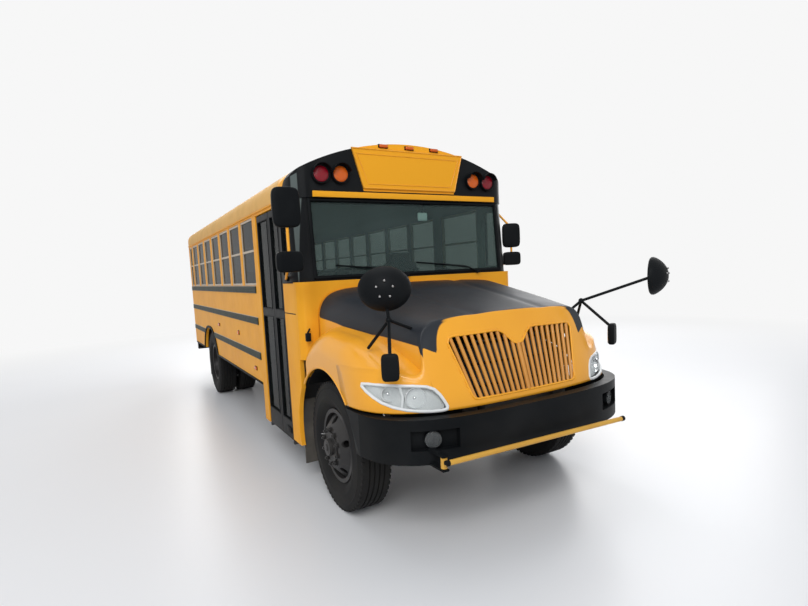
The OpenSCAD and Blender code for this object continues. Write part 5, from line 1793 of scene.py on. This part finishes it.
# ---------------------------------------------------------------- bumpers and arms
@dataclass(frozen=True)
class BumperFittings:
    """Lamps in the front bumper, and fittings of the two swinging arms.

    Attributes:
        stop_x: Middle of the folded stop arm across the bus.
        stop: Middle of its plate along the bus and in height.
        stop_r: Radius of the ring on its edge.
    """

    stop_x: float = HALF_WIDTH + 0.037
    stop: tuple[float, float] = (1.480, 1.560)
    stop_r: float = 0.228

    def fog_lamps(self) -> None:
        """Builds a lamp and its dark back plate in each recess."""
        plate = Piece("bumper_recess_plates", PLASTIC)
        lens = Piece("bumper_lamp_lenses", LAMP_GLASS)
        bowl = Piece("bumper_lamp_bowls", BLACK)
        seat, out = at(0.855, -1.065, 0.812), Vector((0.42, -1.0, 0)).normalized()
        turn = Matrix.Rotation(math.atan2(out.x, -out.y), 3, "Z")
        size = Vector((0.185, 0.006, 0.075))
        back = seat - out * 0.010
        plate.box(back - size, back + size, 0.003, 2, turn)
        bowl.lathe([(0.058, 0.030), (0.050, 0.012), (0.030, 0.002), (0.0, -0.001), (0.0, -0.004),
                    (0.062, -0.004), (0.062, 0.030)], seat, out, 40)
        lens.lathe([(0.0, 0.040), (0.030, 0.038), (0.052, 0.032), (0.059, 0.027), (0.0, 0.026)],
                   seat, out, 40)
        for piece in (plate, lens, bowl):
            piece.both().done()

    def arms(self) -> None:
        """Caps the crossing arm, and fits lamps and a rim on the blank stop arm."""
        cap = Piece("crossing_arm_caps", PLASTIC, "crossing_arm")
        y, z = -1.292, 0.705
        for x0, x1, dz in ((-0.910, -0.880, 0.012), (0.758, 0.789, -0.0115)):
            cap.rod(at(x0, y, z + dz), at(x1, y, z + dz), 0.0205, sides=24, bevel=0.003)
        cap.done()
        lamp = Piece("stop_arm_lenses", RED, "stop_arm")
        ring = Piece("stop_arm_lamp_rings", PLASTIC, "stop_arm")
        for z in (self.stop[1] + 0.165, self.stop[1] - 0.165):
            for out in (-1, 1):
                seat = at(self.stop_x + out * 0.006, self.stop[0], z)
                side = Vector((out, 0, 0))
                ring.lathe([(0.034, 0.0), (0.044, 0.0), (0.044, 0.009), (0.038, 0.011),
                            (0.034, 0.009)], seat, side, 32)
                lamp.lathe([(0.0, 0.013), (0.020, 0.012), (0.032, 0.008), (0.035, 0.001),
                            (0.0, 0.001)], seat, side, 32)
        lamp.done()
        ring.done()
        rim = Piece("stop_arm_rim", STOP_EDGE, "stop_arm")
        for out in (-1, 1):
            corners = arc(self.stop, self.stop_r, 22.5, 382.5, 9)
            rim.tube([at(self.stop_x + out * 0.0072, y, z) for y, z in corners], 0.0035, 8)
        rim.done()

    def dress(self) -> None:
        """Builds all the bumper and arm fittings."""
        self.fog_lamps()
        self.arms()


# ---------------------------------------------------------------- studio
@dataclass(frozen=True)
class Studio:
    """Pale floor, soft light and the camera.

    Attributes:
        stand: Where the camera stands.
        yaw: Turn of the view from straight back towards the driver's side.
        pitch: Upward tilt of the view.
        roll: Roll of the view.
        lens: Focal length in millimetres.
        shift: Shift of the view across and up, as shares of its width.
        backdrop: Grey level of the backdrop.
        seen_by: Rays, besides the camera's, that see the backdrop.
    """

    stand: tuple[float, float, float] = (-2.625, -7.048, 1.931)
    yaw: float = math.radians(29.899)
    pitch: float = math.radians(-5.259)
    roll: float = math.radians(-2.834)
    lens: float = 22.961
    shift: tuple[float, float] = (-0.00888, 0.02002)
    backdrop: float = 0.93
    seen_by: tuple[str, ...] = ("Is Glossy Ray", "Is Transmission Ray")

    def camera(self) -> None:
        """Sets up the camera."""
        data = bpy.data.cameras.new("camera")
        data.lens, data.sensor_width = self.lens, 36.0
        data.shift_x, data.shift_y = self.shift
        data.clip_end = 200.0
        ahead = Vector((math.sin(self.yaw) * math.cos(self.pitch),
                        math.cos(self.yaw) * math.cos(self.pitch), math.sin(self.pitch)))
        right = ahead.cross(UP).normalized()
        above = right.cross(ahead)
        across = right * math.cos(self.roll) + above * math.sin(self.roll)
        upward = above * math.cos(self.roll) - right * math.sin(self.roll)
        turn = Matrix((across, upward, -ahead)).transposed().to_4x4()
        thing = bpy.data.objects.new("camera", data)
        thing.matrix_world = Matrix.Translation(Vector(self.stand)) @ turn
        bpy.context.scene.collection.objects.link(thing)
        bpy.context.scene.camera = thing

    def lamp(self, name: str, place: tuple[float, float, float], size: float,
             power: float) -> None:
        """Adds a soft square lamp that faces the bus.

        Args:
            name: Name of the lamp.
            place: Where it stands.
            size: Length of its sides.
            power: Power in watts.
        """
        data = bpy.data.lights.new(name, "AREA")
        data.size, data.energy = size, power
        thing = bpy.data.objects.new(name, data)
        away = Vector(place) - Vector((0, 0, 1.3))
        thing.matrix_world = (Matrix.Translation(Vector(place))
                              @ away.to_track_quat("Z", "Y").to_matrix().to_4x4())
        bpy.context.scene.collection.objects.link(thing)

    def world(self) -> None:
        """Lights the surroundings evenly, and shows them pale behind the bus."""
        scene = bpy.context.scene
        scene.world = bpy.data.worlds.new("studio")
        scene.world.use_nodes = True
        nodes, links = scene.world.node_tree.nodes, scene.world.node_tree.links
        nodes.clear()
        path = nodes.new("ShaderNodeLightPath")
        lit, seen = nodes.new("ShaderNodeBackground"), nodes.new("ShaderNodeBackground")
        lit.inputs["Color"].default_value = (0.86, 0.91, 1.0, 1.0)
        lit.inputs["Strength"].default_value = 0.50
        seen.inputs["Color"].default_value = rgb((self.backdrop,) * 3)
        mix, out = nodes.new("ShaderNodeMixShader"), nodes.new("ShaderNodeOutputWorld")
        share = path.outputs["Is Camera Ray"]
        for kind in self.seen_by:
            either = nodes.new("ShaderNodeMath")
            either.operation = "MAXIMUM"
            links.new(share, either.inputs[0])
            links.new(path.outputs[kind], either.inputs[1])
            share = either.outputs[0]
        links.new(share, mix.inputs[0])
        links.new(lit.outputs[0], mix.inputs[1])
        links.new(seen.outputs[0], mix.inputs[2])
        links.new(mix.outputs[0], out.inputs["Surface"])

    def floor(self) -> None:
        """Lays the floor."""
        mesh = bmesh.new()
        bmesh.ops.create_grid(mesh, x_segments=1, y_segments=1, size=60.0)
        data = bpy.data.meshes.new("floor_sheet")
        mesh.to_mesh(data)
        mesh.free()
        sheet = bpy.data.objects.new("floor_sheet", data)
        bpy.context.scene.collection.objects.link(sheet)
        tree = Tree("floor_paint")
        place = tree.place()
        tone = tree.mix(tree.noise(place, 0.35), rgb((0.78, 0.78, 0.78)), rgb((0.81, 0.81, 0.81)))
        cloth = tree.principled({"Base Color": tone,
                                 "Roughness": tree.noise(place, 0.8) * 0.1 + 0.30})
        away = tree.node("ShaderNodeVectorMath", {0: place}, "Value", operation="LENGTH")
        seen = tree.node("ShaderNodeLightPath", out="Is Camera Ray")
        for kind in self.seen_by:
            seen = seen.most(tree.node("ShaderNodeLightPath", out=kind))
        backdrop = tree.node("ShaderNodeEmission", {"Color": rgb((self.backdrop,) * 3)})
        data.materials.append(tree.close(tree.node(
            "ShaderNodeMixShader", {0: away.step(5.0, 15.0) * seen, 1: cloth, 2: backdrop})))

    def build(self) -> None:
        """Builds the whole studio."""
        self.camera()
        self.world()
        self.floor()
        for name, place, size, power in (("key", (-6.5, -12.0, 9.0), 7.0, 1050.0),
                                         ("fill", (-13.0, 2.0, 6.0), 7.0, 90.0),
                                         ("far", (11.0, 3.0, 6.0), 7.0, 380.0),
                                         ("rear", (2.0, 12.0, 6.0), 6.0, 520.0),
                                         ("top", (0.0, 1.0, 14.0), 10.0, 360.0)):
            self.lamp(name, place, size, power)
        bpy.context.scene.view_settings.view_transform = "Standard"


def main() -> None:
    """Builds the studio and every sub-assembly."""
    logging.basicConfig(level=logging.INFO, format="%(message)s")
    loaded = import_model()
    frame = Frame(loaded)
    Studio().build()
    for part in (BodyShell(frame), SideTrim(), FrontCap(), Hood(), Wheels(frame, Tyre(), Disc()),
                 Mirrors(), Doors(), Seats(), BumperFittings()):
        part.dress()
        LOG.info("dressed %s", type(part).__name__)


if __name__ == "__main__":
    main()
